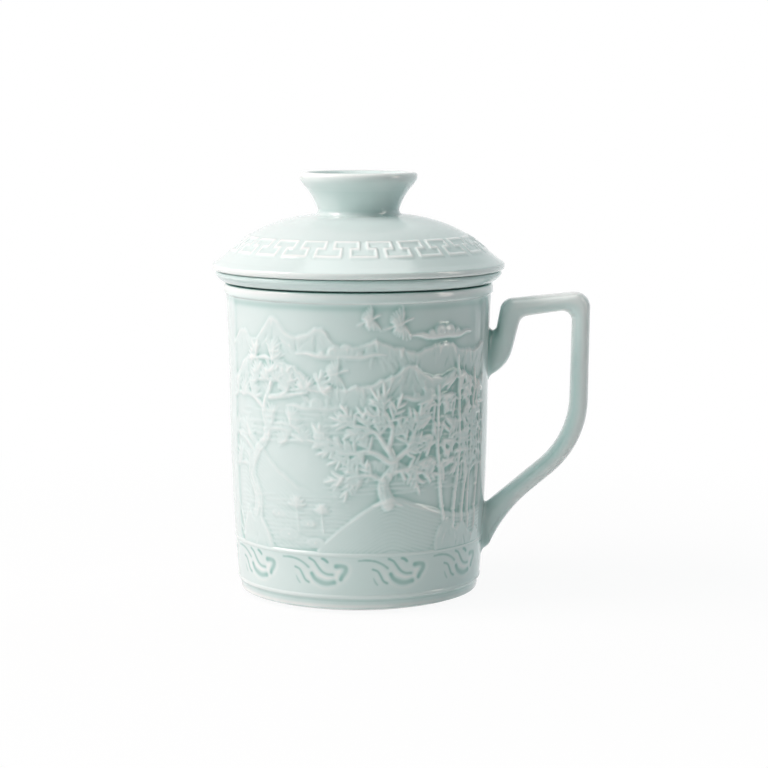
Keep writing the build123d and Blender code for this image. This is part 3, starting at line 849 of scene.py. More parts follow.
def bamboo(sheet, foot, tip, bow, width, rng, first=0.35, top=0.85):
    """A jointed cane with narrow leaves that hang in threes from its joints."""
    foot, tip = np.array(foot, float), np.array(tip, float)
    middle = (foot + tip) / 2 + (bow, 0)
    line = bend([foot, middle, tip], 10)
    sheet.raised(line, taper(len(line), width, width * 0.85, width * 0.5), top, 0.3)
    joints = np.linspace(0, 1, max(4, round(float(tip[1] - foot[1]) / 6.2)))[1:-1]
    for joint in joints:
        spot = place_on(line, np.linspace(0, 1, len(line)), joint)
        wide = width * (1.15 - 0.3 * joint)
        sheet.pressed([spot - (wide, 0.1), spot + (0, 0.06), spot + (wide, -0.1)], (0.24,) * 3, 0.3)
        sheet.raised([spot + (-wide, 0.42), spot + (wide, 0.42)], (0.28, 0.28), top * 1.1)
        if joint > first:
            for side in (-1, 1):
                if rng.random() < 0.9:
                    twig = stroke_from(spot, 90 - side * rng.uniform(35, 60), rng.uniform(2.5, 5.0),
                                       side * 0.1)
                    sheet.raised(twig, taper(len(twig), 0.3, 0.26, 0.2), top * 0.8)
                    for start, count in ((twig[-1], 4), (twig[2], 2)):
                        for k in range(count):
                            leaf(sheet, start, -90 + side * rng.uniform(-8, 88), rng.uniform(4.2, 7.0),
                                 0.62, top * rng.uniform(0.75, 1.08), side * rng.uniform(-0.14, 0.06))


# %% [markdown]
# ## Birds and water plants
#
# The animals and the water plants use the same pointed stroke. A wing is seven feathers that fan out
# from the back, a lotus flower is seven petals that open upwards, and a lotus leaf is a sunk disc with
# raised veins.

# %% Cranes, lotus and reeds
def flying_crane(sheet, at, size, heading, top=0.7):
    """A crane on the wing: neck ahead, legs behind, long feathers spread up and down."""
    h = math.radians(heading)

    def place(along, aside):
        return (at[0] + size * (along * math.cos(h) - aside * math.sin(h)),
                at[1] + size * (along * math.sin(h) + aside * math.cos(h)))

    for side in (1, -1):
        for k in range(7):
            leaf(sheet, place(0.5 - 0.17 * k, side * 0.12), heading + side * (64 + 9 * k),
                 size * (2.5 - 0.26 * k), 0.1 * size + 0.12, top * (0.9 - 0.16 * (k % 2)), side * 0.2)
    sheet.raised([place(-0.9, 0), place(0, 0.05), place(0.8, 0.1)],
                 (0.12 * size, 0.28 * size, 0.14 * size), top)
    sheet.raised([place(0.7, 0.1), place(1.5, 0.25), place(2.2, 0.2)], (0.32, 0.28, 0.18), top)
    sheet.raised([place(-0.8, 0), place(-1.6, -0.05), place(-2.4, -0.1)], (0.26, 0.22, 0.16), top * 0.8)


def standing_crane(sheet, at, size, facing, top=0.8):
    """A crane on its long legs, seen from the side; facing is 1 or -1."""
    u, v = at

    def place(along, height):
        return (u + facing * size * along, v + size * height)

    for shift in (-0.1, 0.22):
        leg = [place(shift, 0), place(shift * 0.6, 1.1), place(0.05, 2.0)]
        sheet.raised(leg, (0.24, 0.22, 0.3), top * 0.8)
    belly = (0.2 * size, 0.5 * size, 0.28 * size)
    sheet.raised([place(-0.9, 1.9), place(0, 2.3), place(0.6, 2.5)], belly, top)
    for k in range(6):
        leaf(sheet, place(0.2 - 0.2 * k, 2.45 - 0.06 * k), 180 + facing * 12 if facing > 0 else -12,
             size * 1.0, 0.3, top * 1.12, 0)
    neck = bend([place(0.55, 2.5), place(0.95, 3.0), place(0.65, 3.5), place(0.95, 4.0)], 5)
    sheet.raised(neck, taper(len(neck), 0.45, 0.3, 0.34), top)
    sheet.raised([place(0.95, 4.0), place(1.6, 3.9)], (0.24, 0.12), top * 0.9)


def lotus_leaf(sheet, at, wide, top=0.5):
    """A round leaf on the water, seen flat, with a raised rim and veins."""
    sheet.disc(at, wide, wide * 0.46, top, 0.5)
    sheet.disc(at, wide - 0.9, wide * 0.46 - 0.75, -0.16, 0.5)
    for turn in range(0, 360, 40):
        h = math.radians(turn)
        end = (at[0] + 0.8 * wide * math.cos(h), at[1] + 0.36 * wide * math.sin(h))
        sheet.raised([at, end], (0.24, 0.26), 0.14, riding=True)


def lotus_flower(sheet, at, size, top=0.8):
    """Pointed petals that open upwards, on a stalk."""
    u, v = at
    sheet.raised(stroke_from(at, -90, size * 2.2, 0.08), taper(5, 0.3, 0.28, 0.26), top * 0.7)
    for turn in (-70, 70, -42, 42, -18, 18, 0):
        leaf(sheet, (u, v - 0.2), 90 + turn, size, size * 0.24, top * (1.05 - abs(turn) / 300), 0)


def reeds(sheet, at, count, tall, rng, top=0.7):
    """A clump of blades that lean out and droop."""
    for k in range(count):
        lean = (2 * k / max(1, count - 1) - 1) * 30 + rng.uniform(-6, 6)
        leaf(sheet, (at[0] + rng.uniform(-1.2, 1.2), at[1]), 90 - lean, tall * rng.uniform(0.6, 1.05), 0.5,
             top * rng.uniform(0.8, 1.05), 0.25 * math.copysign(1, -lean))


# %% [markdown]
# ## Two panels from the same motifs
#
# Each panel is a list of places for these motifs, the far ones first. Places are in millimetres, across
# from the middle of the window and up from the table. A crest is given by its corners, and the noise on
# it does the rest, so a whole range of peaks needs a dozen points.

# %% The front panel and the back panel
def carve_front(sheet, seed):
    """Peaks and clouds, a lake with cranes, a pine, a leafy tree, bamboo, and a terraced hill."""
    rng = np.random.default_rng(seed)
    far = [(-54, 86), (-45, 92), (-39, 88.5), (-30, 96.5), (-22, 90.5), (-13, 93.5), (-5, 87.5), (6, 89.5),
           (18, 86), (30, 88), (42, 85), (54, 87)]
    slope_strokes(sheet, hill(sheet, far, 0.46, 5.0, rng, 0.35), far, 120, 3.5, rng, 7.0)
    closer = [(-54, 74), (-48, 79), (-40, 84), (-33, 80), (-24, 82), (-15, 76), (-4, 74.5), (8, 77),
              (17, 81.5), (26, 77), (36, 79), (46, 75), (54, 76)]
    slope_strokes(sheet, hill(sheet, closer, 0.6, 6.0, rng, 0.4), closer, 190, 4.0, rng, 8.0)
    for at, wide in (((-6, 84.5), 17), ((30, 90.5), 15), ((24, 70.5), 13), ((-14, 67.5), 12)):
        cloud(sheet, at, wide, rng)
    ripples(sheet, 56, 66, -50, 50, 1.9, 0.24, rng)
    shore = [(-54, 60), (-47, 62), (-40, 57), (-33, 51), (-27, 46), (-20, 42), (-14, 39)]
    hill(sheet, shore, 0.6, 9.0, rng, 0.25, 0.1, 0.2, 1.5, 9.0)
    bank = [(-9, 42), (-4, 47.5), (3, 50.5), (10, 51), (18, 49), (27, 51.5), (38, 53), (54, 50)]
    slope_strokes(sheet, hill(sheet, bank, 0.42, 4.0, rng, 0.25), bank, 90, 3.0, rng, 6.0)
    ripples(sheet, 40, 45.5, -14, 40, 1.4, 0.28, rng, 0.6)
    ripples(sheet, 22, 40, -52, -3, 1.4, 0.28, rng, -0.8)
    field = [(-15, 21), (-6, 29), (3, 35.5), (11, 39), (19, 36.5), (30, 33), (42, 31), (54, 32)]
    hill(sheet, field, 0.6, 14.0, rng, 0.0, 0.5, 0.3, 1.3)
    sheet.settle()
    for at, size, heading in (((13, 94.5), 2.3, 16), ((3.5, 96), 1.8, 22), ((-8, 78.5), 2.2, 12)):
        flying_crane(sheet, at, size, heading)
    for at, wide in (((-25, 25.5), 4.8), ((-15, 23.3), 3.8), ((-17.5, 29.5), 3.4), ((-29, 32), 3.6)):
        lotus_leaf(sheet, at, wide)
    lotus_flower(sheet, (-21.5, 35), 3.8)
    lotus_flower(sheet, (-12.5, 33.5), 3.0)
    # the pine at the left
    for places, widths in (([(-38.5, 50), (-45, 55), (-50, 56)], (1.1, 0.8, 0.5)),
                           ([(-34, 59), (-27, 60), (-19, 56.5)], (1.2, 0.8, 0.5)),
                           ([(-34, 66), (-41, 70), (-47, 69.5)], (0.9, 0.7, 0.5)),
                           ([(-32, 70), (-25, 71), (-17, 72.5)], (0.9, 0.7, 0.4))):
        limb(sheet, places, widths, 0.75, rng, 0.5)
    limb(sheet, [(-41, 24), (-38.5, 36), (-42, 44), (-38, 52), (-33, 58), (-34.5, 66), (-31, 75)],
         (2.6, 1.7, 0.7), 0.95, rng, 3.0)
    for at, wide in (((-47.5, 57), 9), ((-19, 57), 12), ((-27, 62), 8), ((-45, 70.5), 10), ((-18, 73.5), 12),
                     ((-31, 76), 13), ((-34, 83), 8), ((-46, 47), 7)):
        pine_pad(sheet, at, wide, rng)
    rock = [(-50, 20), (-48, 27), (-44.5, 31.5), (-41, 28.5), (-38, 31), (-34, 26), (-31.5, 20)]
    slope_strokes(sheet, hill(sheet, rock, 0.95, 9.0, rng, 0.3, 0.5), rock, 50, 3.5, rng, 8.0)
    reeds(sheet, (-49, 22), 7, 14, rng)
    # the leafy tree in the middle
    for side in (-1, 1):
        limb(sheet, [(9.5, 40), (9.5 + 2.2 * side, 37), (9.5 + 5 * side, 35.8)], (1.2, 0.8, 0.3), 0.6, rng)
    limb(sheet, [(9.5, 36.5), (8, 43), (11.5, 49), (9.5, 55)], (2.3, 1.5, 1.0), 0.95, rng, 3.0)
    for places, widths in (([(10, 50), (4, 53.5), (-3, 53), (-10, 55)], (1.0, 0.7, 0.4)),
                           ([(9.5, 54), (5, 60), (-2, 62.5)], (0.9, 0.6, 0.4)),
                           ([(9.5, 54), (11, 61), (8, 67)], (0.9, 0.6, 0.4)),
                           ([(11, 50), (17, 55), (19, 61)], (1.0, 0.7, 0.4)),
                           ([(9, 46), (15, 47.5), (21, 46.5)], (0.8, 0.6, 0.4)),
                           ([(8.5, 44), (3, 46), (-4, 45)], (0.8, 0.6, 0.4))):
        feather_limb(sheet, places, widths, rng)
    # bamboo at the right
    for foot, tip, bow, width in (((31, 27), (27.5, 74), -1.5, 0.7), ((34.5, 25), (36, 83), 2.0, 0.85),
                                  ((39, 26), (42, 70), 1.0, 0.75), ((43, 24), (46, 78), -1.0, 0.8),
                                  ((47.5, 25), (50, 66), 1.0, 0.7)):
        bamboo(sheet, foot, tip, bow, width, rng)
    stone = [(26.5, 20), (28, 27), (32, 30.5), (36, 27), (40, 28.5), (45, 24), (50, 25.5), (53.5, 20)]
    slope_strokes(sheet, hill(sheet, stone, 0.95, 9.0, rng, 0.25, 0.5), stone, 60, 3.5, rng, 7.0)


def carve_back(sheet, seed):
    """The other panel: a plum tree in flower, bamboo, and cranes at the water."""
    rng = np.random.default_rng(seed)
    far = [(-54, 82), (-42, 86), (-30, 84), (-18, 89), (-8, 95), (2, 90), (12, 96), (22, 90), (34, 93),
           (54, 86)]
    slope_strokes(sheet, hill(sheet, far, 0.46, 6.0, rng, 0.4), far, 150, 4.0, rng, 8.0)
    closer = [(-54, 70), (-40, 75), (-28, 72), (-14, 76), (0, 73), (16, 78), (30, 82), (42, 79), (54, 80)]
    slope_strokes(sheet, hill(sheet, closer, 0.6, 6.0, rng, 0.4), closer, 190, 4.5, rng, 9.0)
    for at, wide in (((-30, 79), 16), ((14, 83), 15), ((-2, 66), 13)):
        cloud(sheet, at, wide, rng)
    ripples(sheet, 46, 64, -50, 30, 1.9, 0.24, rng, 0.3, 16.0)
    field = [(-54, 40), (-44, 43), (-34, 40), (-24, 34), (-12, 28), (-2, 20)]
    hill(sheet, field, 0.6, 12.0, rng, 0.0, 0.5, 0.3, 1.3)
    ripples(sheet, 22, 40, -20, 30, 1.4, 0.28, rng, 0.6, 9.0)
    cliff = [(23, 20), (25, 40), (29, 55), (34, 62), (40, 60), (46, 66), (54, 64)]
    slope_strokes(sheet, hill(sheet, cliff, 0.8, 16.0, rng, 0.5, 0.35), cliff, 260, 6.0, rng, 34.0)
    sheet.settle()
    for at, size, heading in (((-16, 69), 2.6, 160), ((-28, 62), 2.0, 168), ((4, 58), 1.8, 150)):
        flying_crane(sheet, at, size, heading)
    standing_crane(sheet, (4, 27), 3.4, -1)
    standing_crane(sheet, (13, 24.5), 2.8, 1)
    for at, wide in (((-4, 24.5), 4.4), ((19, 31), 3.6), ((-9, 31), 3.4)):
        lotus_leaf(sheet, at, wide)
    lotus_flower(sheet, (-5, 37), 3.4)
    reeds(sheet, (21, 23), 7, 12, rng)
    # the plum tree on the cliff
    limb(sheet, [(44, 22), (42, 36), (37, 44), (38, 54), (33, 62)], (2.6, 1.8, 1.0), 1.0, rng, 3.0)
    for places in ([(38, 44), (30, 46), (23, 43), (16, 45), (10, 43)],
                   [(38, 52), (30, 57), (21, 56), (13, 60)], [(34, 60), (27, 66), (18, 67), (11, 71)],
                   [(34, 61), (34, 70), (29, 76), (30, 82)], [(38, 53), (44, 60), (45, 70), (48, 76)]):
        line = limb(sheet, places, (1.0, 0.7, 0.35), 0.85, rng, 0.6)
        for spot in line[4::2]:
            away = spot + rng.normal(0, 1.3, 2)
            limb(sheet, [spot, (spot + away) / 2 + (0.2, 0.2), away], (0.34, 0.3, 0.26), 0.75, rng)
            blossom(sheet, tuple(away), rng.uniform(1.2, 1.7), 0.9, rng)
    for foot, tip, bow, width in (((-47, 36), (-49, 84), 1.0, 0.8), ((-42, 36), (-40, 79), -1.5, 0.85),
                                  ((-36, 36), (-37, 88), 1.5, 0.8), ((-31, 33), (-28, 72), 1.0, 0.7)):
        bamboo(sheet, foot, tip, bow, width, rng)
    stone = [(-52, 20), (-49, 36), (-44, 39), (-39, 36), (-34, 37), (-29, 33), (-25, 27), (-23, 20)]
    slope_strokes(sheet, hill(sheet, stone, 0.9, 9.0, rng, 0.3, 0.5), stone, 90, 4.0, rng, 14.0)


# %% [markdown]
# ## From the sheets to the walls
#
# The carved sheet is softened, because glaze levels every small form, and the difference between the
# soft surface and a softer one says where glaze gathers. Then the sheet is wrapped round the mug. The
# front carving is bolder towards the handle, so that it stays clear where the light is weak.

# %% Two walls
CARVING_SHARP, CARVING_NEAR, CARVING_FAR = 0.28, 1.1, 3.2    # mm of blur, for three looks at the clay
BOLD_PLACES = (-1.0, -0.15, 0.4)        # where the boldness is given, in half widths of the window
BOLD_HEIGHTS, BOLD_UPWARDS = (30, 60, 78, 92), (0.85, 0.9, 1.3, 1.5)    # and it grows near the top
LOW_CREASE, LIP_BAND_POOL_AND_SHADE = 0.1, 0.11     # how much glaze gathers above the bead and under the lip band; under the lip band it is partly painted shade
GLAZE_DEEPENS = 0.68      # how strongly narrow forms turn into tones of the glaze
GLAZE_DRIFTS = 0.18       # and how strongly broad forms do
GLAZE_FILL = 0.35         # how far the glaze levels the narrow forms


def carved_wall(name, facing, turn, carve, seed, boldness):
    """One half of the mug's wall, with its window, its carving and its glaze. The boldness is the height
    of the carving at the window's left edge, left of its middle and right of it."""
    up = np.linspace(WALL_LOW, WALL_HIGH, round((WALL_HIGH - WALL_LOW) / CELL) + 1)
    sheet = ClaySheet(wall_columns(turn), up)
    u, v = np.meshgrid(sheet.across, sheet.up)
    carve(sheet, seed)
    ground = -window_depth(u, v)
    bold = np.interp(u, [place * panel_half for place in BOLD_PLACES], boldness)
    bold = bold * np.interp(v, BOLD_HEIGHTS, BOLD_UPWARDS)
    clay = ground + bold * sheet.height * (-ground / PANEL_DEPTH) ** 0.5
    fine, wide, broad = (soften(clay, sheet.across, sheet.up, blur)
                         for blur in (CARVING_SHARP, CARVING_NEAR, CARVING_FAR))
    surface = fine + GLAZE_FILL * (wide - fine)
    crease = LOW_CREASE * np.exp(-(v - WAIST_BEAD_Z - 0.5) / 0.5)
    # painted shade under the lip band's ledge, added to the glaze that gathers there
    crease = crease + LIP_BAND_POOL_AND_SHADE * near(v, WALL_HIGH - 1.0, 1.4)
    pool = GLAZE_DEEPENS * (wide - fine) + GLAZE_DRIFTS * (broad - wide) + crease
    wall = slab(len(sheet.across), len(up))
    angles = math.radians(facing + turn) + sheet.across / WALL_R
    lay_on_mug(wall, angles, up, wall_radius(up)[:, None] + surface, pool)
    fire(name, wall, "mug", "body_glaze", "mug_body")
    print(f"  relief {surface.min():.2f} to {surface.max():.2f} mm,",
          f"pool {pool.min():.2f} to {pool.max():.2f}")


carved_wall("mug_front_wall", -90, PANEL_TURN, carve_front, 7, (0.62, 0.8, 1.35))
carved_wall("mug_back_wall", 90, PANEL_TURN, carve_back, 23, (1.0, 1.0, 1.0))

# %% [markdown]
# ## The infuser
#
# A cup inside the cup. Only its flange shows while the lid is on, and the rest shows when it is lifted
# out: a tapered wall and a floor pierced with small holes. It is turned like the mug. The holes are
# cut with one cutter made of small cylinders, and their rims are bevelled, because glaze rounds every
# edge that it wets.

# %% Turned cup and pierced floor
FLANGE_Z, FLANGE_TOP, FLANGE_R = 105.22, 108.9, 47.9
BASKET_R, BASKET_FOOT_R, BASKET_Z, BASKET_FLOOR = 40.7, 35.9, 40.0, 43.0
INFUSER_T = 2.5
HOLE_D, HOLE_PITCH, HOLE_RINGS = 3.0, 8.6, 2
flange_swell = arc_through((LIP_R, FLANGE_Z), (LIP_R + 1.96, FLANGE_Z + 1.4),
                           (FLANGE_R, FLANGE_TOP - 1.2), 10)
infuser_points = [(0, BASKET_Z), (BASKET_FOOT_R, BASKET_Z), (BASKET_R, FLANGE_Z), *flange_swell,
                  (FLANGE_R, FLANGE_TOP), (BASKET_R - INFUSER_T, FLANGE_TOP),
                  (BASKET_FOOT_R - INFUSER_T, BASKET_FLOOR), (0, BASKET_FLOOR)]
infuser = outline(infuser_points, rounds={
    (BASKET_FOOT_R, BASKET_Z): 8.0, (BASKET_R, FLANGE_Z): 0.5, (FLANGE_R, FLANGE_TOP): 0.8,
    (BASKET_R - INFUSER_T, FLANGE_TOP): 0.9, (BASKET_FOOT_R - INFUSER_T, BASKET_FLOOR): 5.5})
turn_on_wheel(infuser, 240)


def pierce(bm, places, radius, low, high):
    """Cuts round holes through a piece and rounds their rims."""
    cutter = bmesh.new()
    for x, y in places:
        matrix = Matrix.Translation((x, y, (low + high) / 2))
        bmesh.ops.create_cone(cutter, cap_ends=True, segments=32, radius1=radius, radius2=radius,
                              depth=high - low + 4, matrix=matrix)
    meshes = []
    for label, source in (("cup", bm), ("cutter", cutter)):
        mesh = bpy.data.meshes.new(label)
        source.to_mesh(mesh)
        source.free()
        meshes.append(bpy.data.objects.new(label, mesh))
        bpy.context.scene.collection.objects.link(meshes[-1])
    cup, tool = meshes
    cut = cup.modifiers.new("holes", "BOOLEAN")
    cut.operation, cut.solver, cut.object = "DIFFERENCE", "EXACT", tool
    result = bmesh.new()
    result.from_mesh(cup.evaluated_get(bpy.context.evaluated_depsgraph_get()).to_mesh())
    for spare in meshes:
        bpy.data.objects.remove(spare)
    rims = [e for e in result.edges if e.is_manifold and e.calc_face_angle() > 1.3
            and any(abs(math.hypot(e.verts[0].co.x - x, e.verts[0].co.y - y) - radius) < 0.05
                    and abs(math.hypot(e.verts[1].co.x - x, e.verts[1].co.y - y) - radius) < 0.05
                    for x, y in places)]
    bmesh.ops.bevel(result, geom=rims, offset=0.45, offset_type="OFFSET", segments=3, profile=0.5,
                    affect="EDGES", material=-1)
    return result


holes = [(0.0, 0.0)] + [(ring * HOLE_PITCH * math.cos(math.tau * k / (6 * ring)),
                         ring * HOLE_PITCH * math.sin(math.tau * k / (6 * ring)))
                        for ring in range(1, HOLE_RINGS + 1) for k in range(6 * ring)]


def infuser_extra(radius, height):
    """Painted shade: a dark line where the flange rests on the mug, and a darker flange towards its top, as
    if in the brim's shadow.
    """
    seat_shade = near(height, FLANGE_Z, 0.15) * (radius < LIP_R + 0.1) * (radius > BASKET_R)
    # painted shade: the dark line in the gap, and the brim's shadow on the flange's top
    return 0.3 * seat_shade + 0.2 * near(height, FLANGE_TOP, 2.0) * (radius > LIP_R)


infuser = pierce(infuser, holes, HOLE_D / 2, BASKET_Z, BASKET_FLOOR)
fire("infuser_cup", infuser, "infuser", "infuser_glaze", "infuser_basket", infuser_extra)
print("holes:", len(holes))

# %% [markdown]
# ## The lid and its key fret
#
# The lid is a hollow dome with a swept brim. Round its shoulder runs a key fret, one raised line that
# never ends: in, along, back and in again, twenty-three times. On the real lid it comes out of the
# mould, so its edges are soft and the glaze thins over it and turns white. Here the dome is an outline
# rolled from a fine grid, and the fret is a line drawn on that grid. Each point asks how far it is
# from the line and rises accordingly.

# %% The dome's outline
BRIM_Z, BRIM_R, BRIM_T, BRIM_ROUND = 109.1, 48.9, 3.4, 1.1
NECK, EDGE = (41.4, 117.0), (46.86, 112.5)
CROWN_R, CROWN_Z, LAND_R, LAND_Z = 28.3, 124.55, 14.3, 127.3
CROWN_CURVE, LID_T = 85.0, 4.2
RING_R, RING_T, RING_LOW, RING_ROUND = 37.6, 3.2, 104.9, 1.2
steep = math.asin(CROWN_R / CROWN_CURVE)
crown = arc_from((CROWN_R, CROWN_Z), (-math.cos(steep), math.sin(steep)), (LAND_R, LAND_Z), 24)
shoulder = arc_from((CROWN_R, CROWN_Z), (math.cos(steep), -math.sin(steep)), NECK, 40)
flare = arc_from(NECK, heading_at_end(shoulder), EDGE, 20)
dome = np.array([(0, LAND_Z)] + crown[::-1] + shoulder[1:] + flare[1:])
print("dome runs to", [round(float(c), 2) for c in dome[-1]])


def corner(before, at, after, radius, steps=6):
    """Points round a corner of an outline, with a radius."""
    at = np.array(at, float)
    one, two = np.array(before) - at, np.array(after) - at
    one, two = one / np.hypot(*one), two / np.hypot(*two)
    half = math.acos(float(np.clip(one @ two, -1, 1))) / 2
    centre = at + (one + two) / np.hypot(*(one + two)) * radius / math.sin(half)
    start, end = at + one * radius / math.tan(half), at + two * radius / math.tan(half)
    turn = [math.atan2(*(p - centre)[::-1]) for p in (start, end)]
    sweep = (turn[1] - turn[0] + math.pi) % math.tau - math.pi
    return [tuple(centre + radius * np.array([math.cos(turn[0] + sweep * k / steps),
                                              math.sin(turn[0] + sweep * k / steps)]))
            for k in range(steps + 1)]


def dome_height(radius):
    return float(np.interp(radius, dome[:, 0], dome[:, 1]))


FRET_ROW = 0.235          # distance between the rows of points under the fret
fret_rows = np.arange(36.0, 44.0, FRET_ROW)
dome_rows = np.concatenate([[0, 4, 9, 12.5, 14.3, 16, 18, 20, 22, 24, 26, 27.5, 29, 30.5, 32, 33.2, 34.4,
                             35.3], fret_rows, [44.3, 44.8, 45.3, 45.8, 46.2, 46.5, 46.86]])
dome_top = [(r, dome_height(r)) for r in dome_rows]
hollow = [(r, dome_height(r) - LID_T) for r in (0, 8, 14.3, 20, 25, 28.3, 31, 33, 34.4)]
bore_r = RING_R - RING_T
lid_section = (
    dome_top
    + corner(EDGE, (BRIM_R, BRIM_Z + BRIM_T * 0.6), (BRIM_R, BRIM_Z), BRIM_T * 0.3, 6)
    + corner((BRIM_R, BRIM_Z + BRIM_T), (BRIM_R, BRIM_Z), (0, BRIM_Z), BRIM_ROUND, 8)
    + [(45.0, BRIM_Z), (41.0, BRIM_Z), (38.4, BRIM_Z), (RING_R, BRIM_Z), (RING_R, 108.4)]
    + corner((RING_R, BRIM_Z), (RING_R, RING_LOW), (0, RING_LOW), RING_ROUND, 5)
    + corner((RING_R, RING_LOW), (bore_r, RING_LOW), (bore_r, BRIM_Z), RING_ROUND, 5)
    + [(bore_r, 108.4), (bore_r, 112.0), (bore_r, 115.5)] + hollow[::-1])


# %% One endless line, twenty-three times round
FRET_REPEATS, FRET_START = 23, 204.4
FRET_OUT, FRET_IN, FRET_MIDDLE = 42.75, 37.1, 39.0
FRET_LINE, FRET_RISE = 1.15, 0.32
FRET_FOOT, FRET_OPEN, FRET_HOOK = 0.015, 0.28, 0.22
FRET_BLURS = (0.16, 0.85)               # mm: how soft the line is, and how far round it glaze is thinned
FRET_BESIDE, FRET_ON_TOP = 0.6, 0.35    # glaze gathers beside the line and thins on it
foot, end = FRET_FOOT, FRET_FOOT + 1 - FRET_OPEN
fret_path = [(foot, 0), (end, 0), (end, 0.5), (end - FRET_HOOK, 0.5), (end - FRET_HOOK, 1),
             (end + 0.5, 1), (end + 0.5, 0.5), (foot + 1, 0.5), (foot + 1, 0)]


def fret_gap(radius, angle):
    """How far a place on the dome is from the middle of the fret's line, in plan."""
    repeat = math.tau / FRET_REPEATS
    turn = (angle - math.radians(FRET_START)) / repeat % 1.0
    best = np.full(np.broadcast(radius, angle).shape, 9.0)
    for shift in (-1, 0, 1):
        for (u0, v0), (u1, v1) in zip(fret_path, fret_path[1:]):
            r0, r1 = FRET_OUT + (FRET_IN - FRET_OUT) * v0, FRET_OUT + (FRET_IN - FRET_OUT) * v1
            across = radius * repeat
            x, y = (turn + shift) * across, radius
            x0, x1 = u0 * across, u1 * across
            along = np.clip(((x - x0) * (x1 - x0) + (y - r0) * (r1 - r0))
                            / ((x1 - x0) ** 2 + (r1 - r0) ** 2 + 1e-9), 0, 1)
            best = np.minimum(best, np.hypot(x - x0 - along * (x1 - x0), y - r0 - along * (r1 - r0)))
    return best


LID_COLUMNS, BRIM_THIN = 960, 0.17      # points round the lid, and how much the glaze thins on its brim
lid_angles = np.linspace(0, math.tau, LID_COLUMNS + 1)
lid_r = np.array([p[0] for p in lid_section])[:, None] + 0 * lid_angles
lid_z = np.array([p[1] for p in lid_section])[:, None] + 0 * lid_angles
on_dome = slice(0, len(dome_top))
gap = fret_gap(lid_r[on_dome], lid_angles[None, :])
raised_line = np.clip((FRET_LINE / 2 + 0.25 - gap) / 0.6, 0, 1)
fret = FRET_RISE * raised_line ** 2 * (3 - 2 * raised_line)
fret_soft, fret_wide = (soften(fret, lid_angles * FRET_MIDDLE, np.arange(len(fret)) * FRET_ROW, blur)
                        for blur in FRET_BLURS)
in_band = ((dome_rows > 35.9) & (dome_rows < 44.1))[:, None]
lid_z[on_dome] += np.where(in_band, fret_soft, 0)
lid_pool = np.zeros_like(lid_z)
lid_pool[on_dome] = np.where(in_band, FRET_BESIDE * (fret_wide - fret_soft) - FRET_ON_TOP * fret_soft, 0)
brim_rows = slice(len(dome_top) + 3, len(dome_top) + 16)    # the rows round the brim's two corners
lid_pool[brim_rows] -= BRIM_THIN
lid = roll_round(*(np.vstack([rows, rows[:1]]) for rows in (lid_r, lid_z, lid_pool)))
fire("lid_dome_and_fret", lid, "lid", "lid_glaze", "lid_cover")
print("fret:", FRET_REPEATS, "repeats,", len(lid_section), "rows")

# %% [markdown]
# ## The knob
#
# The knob is thrown on its own as a small flared cup and stuck on the dome with slip. It is hollow, so
# its rim casts a shadow inside, and painted shade darkens the inside under the rim as well. Where its neck
# meets the dome, glaze gathers in a ring, and the outline gets a small concave skirt there that runs out
# onto the dome.

# %% A flared cup with a skirt of glaze
KNOB_TOP, KNOB_RIM_R, KNOB_LIP_T = 141.45, 19.7, 2.7
KNOB_NECK_END, KNOB_FLOOR, KNOB_BOWL_R = (18.2, 137.1), 131.0, 9.0
neck = arc_through((13.2, LAND_Z), (14.85, 132.2), KNOB_NECK_END, 30)
skirt = arc_through((15.6, LAND_Z - 0.17), (13.95, LAND_Z + 0.55), neck[6], 8)
knob_points = [(0, LAND_Z - 0.4), (15.0, LAND_Z - 0.4), *skirt, *neck[7:],
               (KNOB_RIM_R, KNOB_TOP - 2.35), (KNOB_RIM_R, KNOB_TOP), (KNOB_RIM_R - KNOB_LIP_T, KNOB_TOP),
               (KNOB_BOWL_R, KNOB_FLOOR), (0, KNOB_FLOOR)]
knob = outline(knob_points, rounds={
    (KNOB_RIM_R, KNOB_TOP - 2.35): 2.6, (KNOB_RIM_R, KNOB_TOP): 1.3,
    (KNOB_RIM_R - KNOB_LIP_T, KNOB_TOP): 1.3, (KNOB_BOWL_R, KNOB_FLOOR): 4.5}, step=0.8, fine=0.25)
turn_on_wheel(knob, 240)


def knob_extra(radius, height):
    """Painted shade inside the bowl just under the rim, thinner glaze on the rim and round the skirt."""
    # painted shade: darker inside the cup, most just under its rim
    shade_under_rim = (radius < KNOB_RIM_R - KNOB_LIP_T) * near(height, KNOB_TOP, 6.0)
    return 0.12 * shade_under_rim - 0.07 * near(height, KNOB_TOP - 1.0, 1.6) - 0.15 * near(height, LAND_Z + 0.4, 1.4)


fire("lid_knob_cup", knob, "lid", "lid_glaze", "lid_knob", knob_extra)

# %% [markdown]
# ## The handle
#
# The handle is a bar of clay bent into an ear and joined to the wall with slip. Seen from the side it
# has two edges, an outer and an inner one, and each is a path with rounded corners. The two paths have
# matching corners, so the bar can be laid between them: a station on one belongs to a station on the
# other, and a soft oval section joins them. All the stations together are one grid, rolled shut. At
# the roots the joint is wiped with slip and glazed over, so the skin near the wall flares out in a
# small hollow curve.

